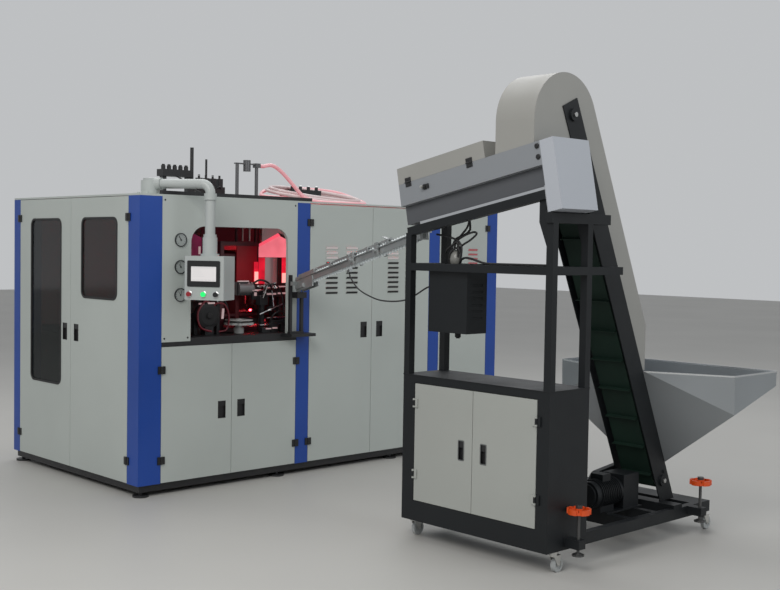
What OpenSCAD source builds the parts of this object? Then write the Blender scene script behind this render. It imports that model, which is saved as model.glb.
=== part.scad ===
// Stretch blow moulding machine with its preform feeder, in millimetres.
// Machine frame: X runs right along the front, Y goes back, Z up, from the front left corner on the floor.
// The part frame is the same, moved to the middle of the whole line's floor outline.

/* [Machine body] */
// Width of the front left corner post
corner_post_w = 160; // [100:5:200]
// Depth of the front left corner post
corner_post_d = 129; // [80:1:160]
// Width of the bay behind the control box
lower_bay_w = 1069; // [1000:1:1200]
// Width of the middle posts
mid_post_w = 110; // [80:1:140]
// Width of the tall door bay
tall_bay_w = 1171; // [1000:1:1300]
// Width of the side door bay
side_bay_w = 545; // [450:1:650]
// Width of the right corner post
end_post_w = 115; // [80:1:140]
// Depth of the left end door bay
end_bay_d = 1459; // [1300:1:1600]
// Depth of the rear posts
rear_post_d = 92; // [60:1:120]
// Height of the panels' lower edge
panel_z0 = 74; // [60:1:100]
// Height of the panels' upper edge
panel_z1 = 1860; // [1850:1:1900]
// Thickness of the roof tray
roof_t = 12; // [8:1:20]
// Sheet thickness
sheet = 2; // [1.5:0.5:3]
// Depth of the folded edges of doors and panels
pan_depth = 22; // [18:1:30]
// Gap round each door
door_gap = 3; // [2:0.5:5]

/* [Base and table] */
// Height of the base rails
rail_h = 44; // [30:1:60]
// How far the base stands back from the panels
base_inset = 20; // [10:1:40]
// Radius of the levelling feet
foot_r = 50; // [35:1:60]
// Height of the work table's upper face
table_z = 975; // [970:1:990]
// Thickness of the work table
table_t = 45; // [30:1:60]
// Top of the lower doors
lower_door_top = 925; // [900:1:928]
// How far the ledge stands out
ledge_out = 110; // [90:5:140]

/* [Doors] */
// Hinge pin radius
pin_r = 3; // [2.5:0.5:4]
// Running clearance of pins and shafts
run_gap = 0.05; // [0.03:0.01:0.08]
// Distance of the hinge pins in front of the face
pin_out = 7; // [6.8:0.1:9]
// Radius of the hinge knuckles
knuckle_r = 6.4; // [5.5:0.1:6.6]
// Height of a hinge
hinge_h = 48; // [40:1:70]
// Length of a hinge leaf
leaf_w = 26; // [20:1:32]
// Width of the recessed pulls
pull_w = 60; // [45:1:70]
// Height of the recessed pulls
pull_h = 112; // [80:1:140]
// Distance of the pulls from the free edge
pull_edge = 75; // [60:1:100]
// Width of a louvre
louvre_w = 110; // [80:1:120]
// Louvre pitch
louvre_pitch = 35; // [30:1:45]
// Louvres in a column
louvre_n = 10; // [6:1:12]

/* [Fascia] */
// Left edge of the work opening
open_x0 = 373; // [355:1:420]
// Right edge of the work opening
open_x1 = 1148; // [1100:1:1160]
// Top of the work opening
open_z1 = 1680; // [1600:1:1720]
// Radius of the opening's top corners
open_r = 100; // [60:5:140]
// Radius of the gauge bezels
gauge_r = 43; // [35:1:48]

/* [Control arm] */
// Reach of the arm
arm_reach = 414; // [380:1:440]
// Height of the arm's tube
arm_z = 1940; // [1935:1:1960]
// Radius of the arm's tubes
arm_r = 31; // [26:1:34]
// Width of the control box
hmi_w = 265; // [240:1:300]
// Depth of the control box
hmi_d = 165; // [140:1:180]
// Height of the control box
hmi_h = 270; // [250:1:300]
// Lower face of the control box
hmi_z0 = 1225; // [1200:1:1240]
// Travel of the push buttons
button_travel = 4; // [3:0.5:5]

/* [Blow station] */
// Middle of the blow station across the machine
station_x = 1092; // [1085:1:1100]
// Middle of the blow station along the depth
station_y = 400; // [395:1:405]
// Spacing of the guide rods
guide_span = 166; // [150:2:180]
// Top of the guide rods
guide_top = 2134; // [2120:1:2150]
// Radius of the guide rods
guide_r = 12; // [10:1:14]
// Gap between the open mould halves
mould_gap = 60; // [50:2:70]
// Depth of the mould halves
mould_d = 130; // [120:2:136]

/* [Feeder frame] */
// Front face of the feeder frame
feeder_x0 = 612; // [605:1:620]
// Rear face of the feeder cabinet
feeder_x1 = 924; // [915:1:940]
// Near end of the feeder frame
feeder_y0 = -2690; // [-2700:1:-2680]
// Far end of the feeder frame
feeder_y1 = -1690; // [-1700:1:-1685]
// Frame tube size
tube = 40; // [36:1:44]
// Underside of the frame
frame_z0 = 105; // [103:1:112]
// Height of the base rails
base_rail_h = 60; // [50:1:65]
// Table height of the feeder cabinet
cab_z1 = 890; // [870:1:900]
// Lower edge of the middle rail
mid_rail_z = 1446; // [1430:1:1460]
// Length of the base behind the cabinet
base_x1 = 2075; // [2050:1:2090]

/* [Orienting unit] */
// Slope of the unit in degrees
slope = 11; // [10.5:0.1:11.5]
// Front side of the unit
unit_x0 = 600; // [598:1:606]
// Width of the unit
unit_w = 280; // [270:1:284]
// Height of the side panels
unit_side_h = 118; // [110:1:124]
// Height of the lid's sides
lid_h = 88; // [70:1:100]
// Length of the lid
lid_len = 629; // [600:1:632]
// Radius of the rollers
roller_r = 25; // [22:1:27]
// Gap between the rollers
roller_gap = 22; // [18:1:26]

/* [Elevator] */
// Lean of the elevator from upright in degrees
lean = 24.2; // [24.1:0.05:24.3]
// Near face of the elevator
elev_y0 = -2575; // [-2577:1:-2573]
// Width over the rails
elev_w = 257; // [255:1:261]
// Depth of the rails
elev_rail_d = 122; // [118:1:124]
// Radius of the drums
drum_r = 38; // [34:1:40]
// Belt thickness
belt_t = 4; // [3:0.5:5]
// Belt width
belt_w = 200; // [180:2:206]
// Height of the cleats
cleat_h = 22; // [18:1:23]
// Cleat pitch
cleat_pitch = 177; // [150:1:220]
// Radius of the hood's arch
hood_r = 245; // [240:1:248]
// Depth of the cover behind the rails
cover_d = 122; // [110:1:130]

/* [Hopper] */
// Height of the hopper's rim
rim_z = 922; // [905:1:925]
// Half width of the hopper
hopper_half = 568; // [500:1:570]
// Near edge of the hopper's straight part
hopper_x1 = 1745; // [1700:1:1760]
// Far edge of the hopper
hopper_x2 = 2185; // [2100:1:2250]

/* [Chute] */
// Slope of the chute in degrees
chute_pitch = 10.85; // [10.8:0.05:10.9]
// Turn of the chute in plan in degrees
chute_turn = 15.4; // [15.3:0.05:15.5]
// Height of the chute's rails
chute_rail_h = 40; // [30:1:46]
// Gap between the chute's rails
chute_gap = 26; // [22:1:30]

/* [Casters and jacks] */
// Radius of the caster wheels
wheel_r = 37.5; // [35:0.5:38]
// Width of the caster wheels
wheel_w = 24; // [20:1:28]
// Trail of the casters
caster_trail = 25; // [20:1:30]
// Radius of the jack screws
jack_r = 8; // [7:0.5:9]
// Height of the raised jack pads
jack_pad_z = 85; // [80:1:90]
// Radius of the handwheels
handwheel_r = 59; // [50:1:60]

/* [Hidden] */
$fn = 48;
eps = 0.01;
seat = 0.3;
// Posts and bays along the front
p1_x1 = corner_post_w;
p2_x0 = p1_x1 + lower_bay_w;
p2_x1 = p2_x0 + mid_post_w;
p3_x0 = p2_x1 + tall_bay_w;
p3_x1 = p3_x0 + mid_post_w;
p4_x0 = p3_x1 + side_bay_w;
body_l = p4_x0 + end_post_w;
end_y1 = corner_post_d + end_bay_d;
body_d = end_y1 + rear_post_d;
roof_z = panel_z1 + roof_t;
base_z0 = panel_z0 - rail_h;
post_depth = 60;
tall_door_top = panel_z1 - 5;
fascia_z0 = 955;
hinge_proud = pin_out + knuckle_r;
// Control arm and box
arm_x = 170;
arm_y = 160;
arm_turn = -60;
drop_x = arm_x + arm_reach * cos(arm_turn);
drop_y = arm_y + arm_reach * sin(arm_turn);
pivot_z = roof_z + 26;
hmi_z1 = hmi_z0 + hmi_h;
sleeve_top = hmi_z1 + 115;
button_z = hmi_z0 + 36;
// Blow station
station_w = 584;
station_d = 220;
platen_t = 30;
plate_z0 = table_z + 30;
top_plate_z = 1560;
tie_r = 14;
tie_y = 88;
tie_z = [1085, 1495];
mould_z0 = 1120;
mould_z1 = 1460;
mould_t = 100;
head_z = 1740;
head_h = 44;
oven_x0 = 1330;
oven_x1 = 2440;
oven_y0 = 560;
oven_y1 = 1100;
star_x = 870;
star_y = 170;
star_z = 1032;
// Feeder
door_h_feed = 628;
feed_door_z0 = 216;
feed_door_y0 = -2614;
feed_door_y1 = -1780;
foot_beam_x = 1750;
near_post_top = 1746;
far_post_top = 1646;
rear_lift = 60;
unit_x1 = unit_x0 + unit_w;
unit_y = -1640;
unit_z = 1782;
unit_front = -22;
unit_rear = -1003;
trough_h = 100;
bright_h = 17;
tail_h = 230;
tail_d = 82;
roller_x = (unit_x0 + unit_x1) / 2;
roller_z = 62;
// Chute between the unit's end plate and the infeed stand
chute_top = [roller_x + 10, unit_y - 28, unit_z - 148];
infeed_y = -67.81;
chute_len = (infeed_y - chute_top[1]) / (cos(chute_pitch) * cos(chute_turn));
chute_end = chute_top + chute_len * [cos(chute_pitch) * sin(chute_turn), cos(chute_pitch) * cos(chute_turn),
    -sin(chute_pitch)];
stand_z = chute_end[2] - 61;
lid_rear = unit_front - lid_len;
// Elevator
foot_x = 1766;
foot_z = 300;
head_w = (unit_z + 457.167 - foot_z) / cos(lean);
elev_mid = elev_y0 + elev_w / 2;
elev_y1 = elev_y0 + elev_w;
rail_t = 6;
half_d = elev_rail_d / 2;
cover_n = half_d + cover_d;
hood_x = unit_x0 + hood_r;
hood_z = foot_z + (cover_n - hood_r - (hood_x - foot_x) * cos(lean)) / sin(lean);
top_z = hood_z + hood_r;
hopper_y0 = elev_mid - hopper_half;
hopper_y1 = elev_mid + hopper_half;
rail_back = half_d / cos(lean);
// Whole outline and the move to the part frame
part_shift = [-(body_l - hinge_proud) / 2, -(body_d + hopper_y0) / 2, 0];
// Routes of the cords, in the machine frame
hose_d = 27;
hose_pts = [[1197.6, 400, 2122], [1214, 400, 2122], [1238, 400, 2122.4], [1270, 401, 2130], [1310, 402, 2133],
    [1356, 402, 2118], [1420, 398, 2074], [1500, 390, 2000], [1580, 376, 1926], [1680, 358, 1893],
    [1800, 350, 1888], [1930, 350, 1888], [2080, 370, 1890], [2220, 430, 1895], [2310, 540, 1912], [2300, 660, 1950], [2217, 735, 1986], [2090, 765, 2000], [1980, 770, 2003],
    [1880, 770, 2003], [1780, 766, 2003], [1680, 758, 2003], [1560, 730, 1988], [1450, 680, 1962], [1375, 610, 1934],
    [1356, 540, 1920], [1390, 490, 1914], [1450, 471, 1912], [1500, 470, 1912], [1548.7, 470, 1912]];
sensor_d = 9;
sensor_pts = [[1028.3, -767, 1406.6], [1028.3, -767, 1394], [1022, -789, 1368], [965, -930, 1306], [909, -1140, 1261],
    [863, -1317, 1256], [822, -1474, 1271], [794, -1582, 1303], [768, -1700, 1350], [752, -1790, 1372], [748, -1829.7, 1374]];
lead_d = 12;
lead_pts = [[700, -1960, 1450.3], [700, -1960, 1464], [701, -1955, 1492], [702, -1945, 1535], [706, -1945, 1580],
    [716, -1965, 1620], [726, -2010, 1638], [728, -2048, 1665], [726, -2046, 1710], [724, -2046, 1758]];
rail_lead_pts = [[690, -2010, 1450.3], [690, -2010, 1464], [689, -2012, 1480], [676, -2040, 1510], [660, -2090, 1520],
    [646, -2160, 1510], [634, -2240, 1494], [632, -2330, 1492.3], [632, -2430, 1492.3],
    [632, -2540, 1492.3], [632, -2649.7, 1492.3]];

// Moves machine coordinates into the part frame
module placed(c) color(c) translate(part_shift) children();

// A block from its lowest to its highest corner
module block(p, q) translate(p) cube(q - p);

// Upright round bar
module post(p, r, h) translate(p) cylinder(r = r, h = h);

// Round bar along Y from p
module bar_y(p, r, l) translate(p) rotate([-90, 0, 0]) cylinder(r = r, h = l);

// Round bar along X from p
module bar_x(p, r, l) translate(p) rotate([0, 90, 0]) cylinder(r = r, h = l);

// Flat outline with round corners
module round_rect(w, h, r) {
    translate([r, 0]) square([w - 2 * r, h]);
    translate([0, r]) square([w, h - 2 * r]);
    for (x = [r, w - r], y = [r, h - r]) translate([x, y]) circle(r);
}

// A flat outline in X and Z, pushed back along +Y by t
module upright(t) translate([0, t, 0]) rotate([90, 0, 0]) linear_extrude(t) children();

// Sheet metal tray standing upright, its face at y 0
module pan(w, h, d = pan_depth) difference() {
    cube([w, d, h]);
    translate([sheet, sheet, sheet]) cube([w - 2 * sheet, d, h - 2 * sheet]);
}

// Pressed louvre hood with closed ends, over a slot
module louvre() {
    for (x = [0, louvre_w - 1.5]) translate([x, 0, 0]) rotate([90, 0, 90]) linear_extrude(1.5)
        polygon([[0.5, 20], [-8, 20], [0.5, 0]]);
    rotate([90, 0, 90]) linear_extrude(louvre_w) polygon([[-8, 20], [-6, 20], [0.5, 4], [0.5, 0]]);
}

// Door leaf in its own frame: face at y 0, left lower corner at the origin.
// hinge is -1 for a left hinge and 1 for a right one, win is [x0, z0, w, h] and louvres are column middles.
module leaf(w, h, hinge, hinge_z, pull_z, win = [], louvres = [], louvre_z = 0, pw = pull_w, ph = pull_h) {
    pull_x = hinge < 0 ? w - pull_edge : pull_edge;
    axis_x = hinge < 0 ? -door_gap / 2 : w + door_gap / 2;
    difference() {
        union() {
            pan(w, h);
            translate([pull_x - pw / 2 - sheet, sheet, pull_z - ph / 2 - sheet])
                cube([pw + 2 * sheet, 14, ph + 2 * sheet]);
            if (len(win) == 4) translate([win[0] - 10, sheet - eps, win[1] - 10]) upright(10)
                round_rect(win[2] + 20, win[3] + 20, 50);
        }
        translate([pull_x - pw / 2, -1, pull_z - ph / 2]) cube([pw, 15, ph]);
        if (len(win) == 4) {
            translate([win[0], -1, win[1]]) upright(20) round_rect(win[2], win[3], 45);
            translate([win[0] - 6, 5, win[1] - 6]) upright(20) round_rect(win[2] + 12, win[3] + 12, 48);
        }
        for (x = louvres, k = [0:louvre_n - 1])
            translate([x - louvre_w / 2 + 2, -1, louvre_z + k * louvre_pitch + 6]) cube([louvre_w - 4, 8, 14]);
        for (z = hinge_z) translate([axis_x, -pin_out, z - hinge_h]) cylinder(r = pin_r + run_gap, h = 2 * hinge_h);
    }
    // Grip plate across the recess of the pull
    translate([pull_x - pw / 2 - eps, 3, pull_z + ph / 2 - 34]) cube([pw + 2 * eps, 3, 34 + eps]);
    for (x = louvres, k = [0:louvre_n - 1]) translate([x - louvre_w / 2, 0, louvre_z + k * louvre_pitch]) louvre();
    for (z = hinge_z) difference() {
        union() {
            for (s = [-1, 1]) translate([axis_x, -pin_out, z + (s < 0 ? -hinge_h / 2 : hinge_h / 6 + seat)])
                cylinder(r = knuckle_r, h = hinge_h / 3 - seat);
            translate([hinge < 0 ? axis_x : axis_x - leaf_w, -pin_out, z - hinge_h / 2])
                cube([leaf_w, pin_out + eps, hinge_h / 3 - seat]);
            translate([hinge < 0 ? axis_x : axis_x - leaf_w, -pin_out, z + hinge_h / 6 + seat])
                cube([leaf_w, pin_out + eps, hinge_h / 3 - seat]);
            translate([hinge < 0 ? axis_x + knuckle_r + 1 : axis_x - leaf_w, -pin_out, z - hinge_h / 2])
                cube([leaf_w - knuckle_r - 1, pin_out + eps, hinge_h]);
        }
        translate([axis_x, -pin_out, z - hinge_h]) cylinder(r = pin_r + run_gap, h = 2 * hinge_h);
    }
}

// Fixed hinge half with its pin, on the post beside a door; the pin stands at the origin
module fixed_hinge(hinge) {
    translate([0, 0, -hinge_h / 2]) cylinder(r = pin_r, h = hinge_h);
    translate([0, 0, -hinge_h / 6]) cylinder(r = knuckle_r, h = hinge_h / 3);
    translate([hinge < 0 ? -leaf_w : 0, 0, -hinge_h / 6]) cube([leaf_w, pin_out, hinge_h / 3]);
    translate([hinge < 0 ? -leaf_w : knuckle_r + 1, 0, -hinge_h / 2]) cube([leaf_w - knuckle_r - 1, pin_out, hinge_h]);
}

// Puts a leaf on the front face
module on_front(x, z) translate([x, 0, z]) children();

// Puts a leaf on a face that looks to -X, its left edge at the larger y
module on_end(x, y, z) translate([x, y, z]) rotate([0, 0, -90]) children();

// Doors of the machine body
lower_mid = p1_x1 + lower_bay_w / 2;
lower_w = lower_bay_w / 2 - 1.5 * door_gap;
lower_h = lower_door_top - panel_z0 - door_gap;
tall_w = tall_bay_w / 2 - 1.5 * door_gap;
tall_mid = p2_x1 + tall_bay_w / 2;
tall_h = tall_door_top - panel_z0 - door_gap;
side_w = side_bay_w - 2 * door_gap;
end_split = corner_post_d + 726;
end_rear_w = end_y1 - end_split - 1.5 * door_gap;
end_front_w = end_split - corner_post_d - 1.5 * door_gap;
end_h = panel_z1 - panel_z0 - 2 * door_gap;
door_z = panel_z0 + door_gap;
low_hinges = [141, lower_h - 142];
tall_hinges = [141, tall_h - 127];
pull_at = 973 - door_z;
louvre_at = 1228 - door_z;
rear_win = [168, 610 - door_z, end_rear_w - 298.5, 1112];
front_win = [145, 1210 - door_z, end_front_w - 276.5, 515];

module end_door_rear() placed("gainsboro") on_end(0, end_y1 - door_gap, door_z)
    leaf(end_rear_w, end_h, -1, tall_hinges, pull_at, win = rear_win);

module end_door_front() placed("gainsboro") on_end(0, end_split - door_gap / 2, door_z)
    leaf(end_front_w, end_h, 1, tall_hinges, pull_at, win = front_win);

// Window pane seated in the rebate behind the door's skin
module pane(win) translate([win[0] - 5, 5, win[1] - 5]) upright(4) round_rect(win[2] + 10, win[3] + 10, 47);

module end_window_rear() placed("dimgray") on_end(0, end_y1 - door_gap, door_z) pane(rear_win);

module end_window_front() placed("dimgray") on_end(0, end_split - door_gap / 2, door_z) pane(front_win);

module lower_door_left() placed("gainsboro") on_front(p1_x1 + door_gap, door_z)
    leaf(lower_w, lower_h, -1, low_hinges, 500 - door_z);

module lower_door_right() placed("gainsboro") on_front(lower_mid + door_gap / 2, door_z)
    leaf(lower_w, lower_h, 1, low_hinges, 500 - door_z);

module tall_door_left() placed("gainsboro") on_front(p2_x1 + door_gap, door_z)
    leaf(tall_w, tall_h, -1, tall_hinges, pull_at, louvres = [195, 383], louvre_z = louvre_at);

module tall_door_right() placed("gainsboro") on_front(tall_mid + door_gap / 2, door_z)
    leaf(tall_w, tall_h, 1, tall_hinges, pull_at, louvres = [203, 383], louvre_z = louvre_at);

module side_door() placed("gainsboro") on_front(p3_x1 + door_gap, door_z)
    leaf(side_w, tall_h, 1, tall_hinges, pull_at, louvres = [369], louvre_z = louvre_at);

module door_hinges() placed("black") {
    for (z = low_hinges) {
        translate([p1_x1 + door_gap / 2, -pin_out, door_z + z]) fixed_hinge(-1);
        translate([p2_x0 - door_gap / 2, -pin_out, door_z + z]) fixed_hinge(1);
    }
    for (z = tall_hinges) {
        translate([p2_x1 + door_gap / 2, -pin_out, door_z + z]) fixed_hinge(-1);
        translate([p3_x0 - door_gap / 2, -pin_out, door_z + z]) fixed_hinge(1);
        translate([p4_x0 - door_gap / 2, -pin_out, door_z + z]) fixed_hinge(1);
        translate([-pin_out, end_y1 - door_gap / 2, door_z + z]) rotate([0, 0, -90]) fixed_hinge(-1);
        translate([-pin_out, corner_post_d + door_gap / 2, door_z + z])
            rotate([0, 0, -90]) fixed_hinge(1);
    }
}

// Welded base with levelling feet
module base_frame() placed("black") {
    i = base_inset;
    w = 60;
    difference() {
        block([i, i, base_z0], [body_l - i, body_d - i, panel_z0]);
        for (k = [0:2]) {
            x0 = i + w + k * (body_l - 2 * i - w) / 3;
            block([x0, i + w, base_z0 - 1], [x0 + (body_l - 2 * i - w) / 3 - w, body_d - i - w, panel_z0 - 4]);
        }
    }
    for (k = [0:3], y = [i + w / 2, body_d - i - w / 2]) {
        x = i + w / 2 + k * (body_l - 2 * i - w) / 3;
        post([x, y, 0], foot_r, 12);
        post([x, y, 12 - eps], 12, base_z0 - 12 + 2 * eps);
    }
}

// Post folded from sheet, closed at the top
module hollow_post(x0, y0, w, d) difference() {
    block([x0, y0, panel_z0], [x0 + w, y0 + d, panel_z1]);
    block([x0 + 3, y0 + 3, panel_z0 - 1], [x0 + w - 3, y0 + d - 3, panel_z1 - 3]);
}

// Painted posts round the body
module corner_posts() placed("royalblue") {
    hollow_post(0, 0, corner_post_w, corner_post_d);
    hollow_post(p2_x0, 0, mid_post_w, post_depth);
    hollow_post(p3_x0, 0, mid_post_w, post_depth);
    hollow_post(p4_x0, 0, end_post_w, corner_post_d);
    hollow_post(0, end_y1, corner_post_w, rear_post_d);
    hollow_post(p2_x0, body_d - post_depth, mid_post_w, post_depth);
    hollow_post(p3_x0, body_d - post_depth, mid_post_w, post_depth);
    hollow_post(p4_x0, end_y1, end_post_w, rear_post_d);
}

// Roof tray with its opening over the blow station
roof_open = [950, 250, 1480, 900];

// Rear and right end panels, the roof, and the foot of the control arm
module housing_panels() placed("whitesmoke") {
    for (b = [[corner_post_w, p2_x0], [p2_x1, p3_x0], [p3_x1, p4_x0]])
        translate([b[1] - 1, body_d, panel_z0]) rotate([0, 0, 180]) pan(b[1] - b[0] - 2, panel_z1 - panel_z0);
    translate([body_l, corner_post_d + 1, panel_z0]) rotate([0, 0, 90]) pan(end_bay_d - 2, panel_z1 - panel_z0);
    difference() {
        block([0, 0, panel_z1], [body_l, body_d, roof_z]);
        difference() {
            block([sheet, sheet, panel_z1 - 1], [body_l - sheet, body_d - sheet, roof_z - sheet]);
            block([roof_open[0] - sheet, roof_open[1] - sheet, panel_z1 - 2],
                [roof_open[2] + sheet, roof_open[3] + sheet, roof_z]);
        }
        block([roof_open[0], roof_open[1], panel_z1 - 1], [roof_open[2], roof_open[3], roof_z + 1]);
    }
    difference() {
        union() {
            translate([arm_x - 75, arm_y - 75, roof_z - eps]) linear_extrude(10) round_rect(150, 150, 12);
            post([arm_x, arm_y, roof_z], 57, pivot_z - roof_z);
            for (a = [45:90:315]) translate([arm_x, arm_y, roof_z]) rotate(a) post([74, 0, 0], 8, 16);
        }
        post([arm_x, arm_y, roof_z + 5], 20 + run_gap, pivot_z);
    }
}

// Fascia with the work opening, open at the bottom onto the table
module front_fascia() placed("gainsboro") {
    w = lower_bay_w - 2;
    h = panel_z1 - fascia_z0;
    ox = open_x0 - p1_x1 - 1;
    ow = open_x1 - open_x0;
    oh = open_z1 - fascia_z0;
    gx = 293 - p1_x1 - 1;
    translate([p1_x1 + 1, 0, fascia_z0]) difference() {
        union() {
            pan(w, h);
            translate([ox - sheet, sheet - eps, 0]) upright(pan_depth - sheet)
                union() {
                    round_rect(ow + 2 * sheet, oh + sheet, open_r + sheet);
                    square([ow + 2 * sheet, oh / 2]);
                }
            for (z = [1592, 1423, 1248]) translate([gx, 0, z - fascia_z0]) rotate([-90, 0, 0])
                cylinder(r = gauge_r - 2, h = 6);
        }
        translate([ox, -1, 0]) upright(pan_depth + 2) round_rect(ow, oh, open_r);
        translate([ox, -1, -1]) cube([ow, pan_depth + 2, oh / 2]);
        for (z = [1592, 1423, 1248]) translate([gx, -1, z - fascia_z0]) rotate([-90, 0, 0])
            cylinder(r = gauge_r - 12, h = 20);
    }
}

// Round pressure gauges with a bezel, a sunk dial and a needle
module pressure_gauges() placed("silver") {
    for (z = [1592, 1423, 1248]) translate([293, 0, z]) rotate([90, 0, 0]) {
        difference() {
            union() {
                cylinder(r = gauge_r, h = 9);
                translate([0, 0, -34]) cylinder(r = gauge_r - 12 - seat, h = 35);
            }
            translate([0, 0, 5]) cylinder(r = gauge_r - 5, h = 5);
        }
        translate([0, 0, 5 - eps]) cylinder(r = 4, h = 2);
        rotate(35) translate([-1, -8, 5 - eps]) cube([2, 34, 1.2]);
    }
}

// Work table with its legs, the front ledge and the infeed stand
module work_table() placed("#222222") {
    z0 = table_z - table_t;
    block([p1_x1 + 4, post_depth + 2, z0], [2480, body_d - rear_post_d - 2, table_z]);
    block([p1_x1 + 2, 0, lower_door_top + door_gap], [p2_x0 - 2, post_depth + 4, fascia_z0 - seat]);
    block([open_x0 + 2, 0, lower_door_top + door_gap], [open_x1 - 2, post_depth + 4, table_z]);
    block([open_x1 - 48, -ledge_out, fascia_z0], [chute_end[0] + 119, 0, table_z]);
    block([open_x1 - 48, -0.01, fascia_z0], [open_x1 - 2, 1, table_z]);
    for (x = [420, 1400, 2400], y = [300, 1400]) block([x, y, panel_z0], [x + 60, y + 60, z0 + eps]);
    // Infeed stand under the chute's end
    sx = chute_end[0] + 49;
    sy = chute_end[1] + 8;
    block([sx - 117, sy, table_z - eps], [sx - 97, sy + 20, stand_z + 115]);
    block([sx - 20, sy, table_z - eps], [sx, sy + 20, stand_z]);
    block([sx - 117, sy - 6, table_z - eps], [sx, sy + 26, table_z + 14]);
    block([sx - 80, sy - 32, stand_z - 40], [sx, sy + 34, stand_z]);
}

// Oven: base, back reflector, hood and end plates with two windows
module oven_housing() placed("slategray") {
    block([oven_x0, oven_y0, table_z], [oven_x1, oven_y1, 1015]);
    block([oven_x0, oven_y1 - 40, table_z], [oven_x1, oven_y1, 1640]);
    block([oven_x0, oven_y0, 1600], [oven_x1, oven_y1, 1640]);
    for (x = [oven_x0, oven_x1 - 10]) difference() {
        block([x, oven_y0, table_z], [x + 10, oven_y1, 1640]);
        for (y = [[oven_y0 + 30, oven_y0 + 130], [oven_y0 + 150, oven_y1 - 70]])
            block([x - 1, y[0], 1040], [x + 11, y[1], 1570]);
    }
}

// Quartz lamps between the end plates
module oven_lamps() placed("orangered")
    for (z = [1090:90:1540]) bar_x([oven_x0 + 10, oven_y0 + 140, z], 7, oven_x1 - oven_x0 - 20);

// Bottle cavity on its own axis, for the mould halves
module bottle() rotate_extrude()
    polygon([[0, 0], [30, 0], [34, 8], [34, 90], [31, 100], [34, 110], [34, 190], [28, 225], [15, 255],
        [12.5, 262], [12.5, 400], [0, 400]]);

// Blow station: base, end platens, tie bars, top plate, guide rods, cylinders and the rods' head block
module blow_frame() placed("slategray") {
    x0 = station_x - station_w / 2;
    x1 = station_x + station_w / 2;
    y0 = station_y - station_d / 2;
    y1 = station_y + station_d / 2;
    block([x0, y0, table_z], [x1, y1, plate_z0]);
    for (x = [x0, x1 - platen_t]) block([x, y0, plate_z0 - eps], [x + platen_t, y1, top_plate_z + eps]);
    difference() {
        block([x0, y0, top_plate_z], [x1, y1, top_plate_z + 28]);
        for (y = [-40, 40]) post([station_x, station_y + y, top_plate_z - 1], 14, 40);
    }
    for (y = [-tie_y, tie_y], z = tie_z) bar_x([x0 + 1, station_y + y, z], tie_r, station_w - 2);
    for (x = [-1, 1]) post([station_x + x * guide_span / 2, station_y, top_plate_z + 20], guide_r, guide_top - top_plate_z - 20);
    block([station_x - guide_span / 2 - 16, station_y - 16, guide_top - 8],
        [station_x + guide_span / 2 + 16, station_y + 16, guide_top]);
    block([station_x + guide_span / 2 - 18, station_y - 20, guide_top - 26],
        [station_x + guide_span / 2 + 22, station_y + 20, guide_top + 4]);
    bar_x([x0 - 120, station_y, 1290], 52, 121);
    bar_x([x0 - 136, station_y, 1290], 20, 20);
    for (y = [-40, 40], z = [1250, 1330]) bar_x([x0 - 124, station_y + y, z], 6, 125);
    post([station_x, station_y, guide_top - 56], 26, 78);
}

// Mould half in its closed pose's place less the opening; s is -1 for the left half and 1 for the right
module mould_half(s) {
    face = station_x + s * mould_gap / 2;
    difference() {
        union() {
            block([min(face, face + s * mould_t), station_y - mould_d / 2, mould_z0],
                [max(face, face + s * mould_t), station_y + mould_d / 2, mould_z1]);
            block([min(face + s * mould_t, face + s * (mould_t + platen_t)), station_y - station_d / 2 + 5, 1050],
                [max(face + s * mould_t, face + s * (mould_t + platen_t)), station_y + station_d / 2 - 5, 1530]);
        }
        for (y = [-40, 40]) translate([face, station_y + y, mould_z0 + 30]) bottle();
        for (y = [-tie_y, tie_y], z = tie_z)
            bar_x([face - 200, station_y + y, z], tie_r + run_gap, 400);
    }
}

module mould_left() placed("darkred") mould_half(-1);

module mould_right() placed("darkred") mould_half(1);

// Stretch carriage on the guide rods with its rods and nozzles
module stretch_head() placed("silver") difference() {
    union() {
        block([station_x - guide_span / 2 - 30, station_y - 62, head_z],
            [station_x + guide_span / 2 + 30, station_y + 62, head_z + head_h]);
        for (y = [-40, 40]) {
            post([station_x, station_y + y, top_plate_z + 34], 7, head_z - top_plate_z - 30);
            post([station_x, station_y + y, head_z - 60], 18, 61);
        }
        for (x = [-1, 1]) post([station_x + x * guide_span / 2, station_y, head_z - 20], 22, head_h + 40);
    }
    for (x = [-1, 1]) post([station_x + x * guide_span / 2, station_y, head_z - 60], guide_r + run_gap, head_h + 160);
}

// Notched transfer wheel on its shaft
module star_wheel() placed("white") {
    difference() {
        post([star_x, star_y, star_z], 100, 14);
        for (a = [0:45:315]) translate([star_x, star_y, star_z]) rotate(a) post([98, 0, -1], 15, 16);
        for (a = [22.5:45:360]) translate([star_x, star_y, star_z]) rotate(a) post([55, 0, -1], 14, 16);
    }
    post([star_x, star_y, star_z - 20], 24, 60);
    post([star_x, star_y, table_z + seat], 34, star_z - 20 - table_z - seat + eps);
}

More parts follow.
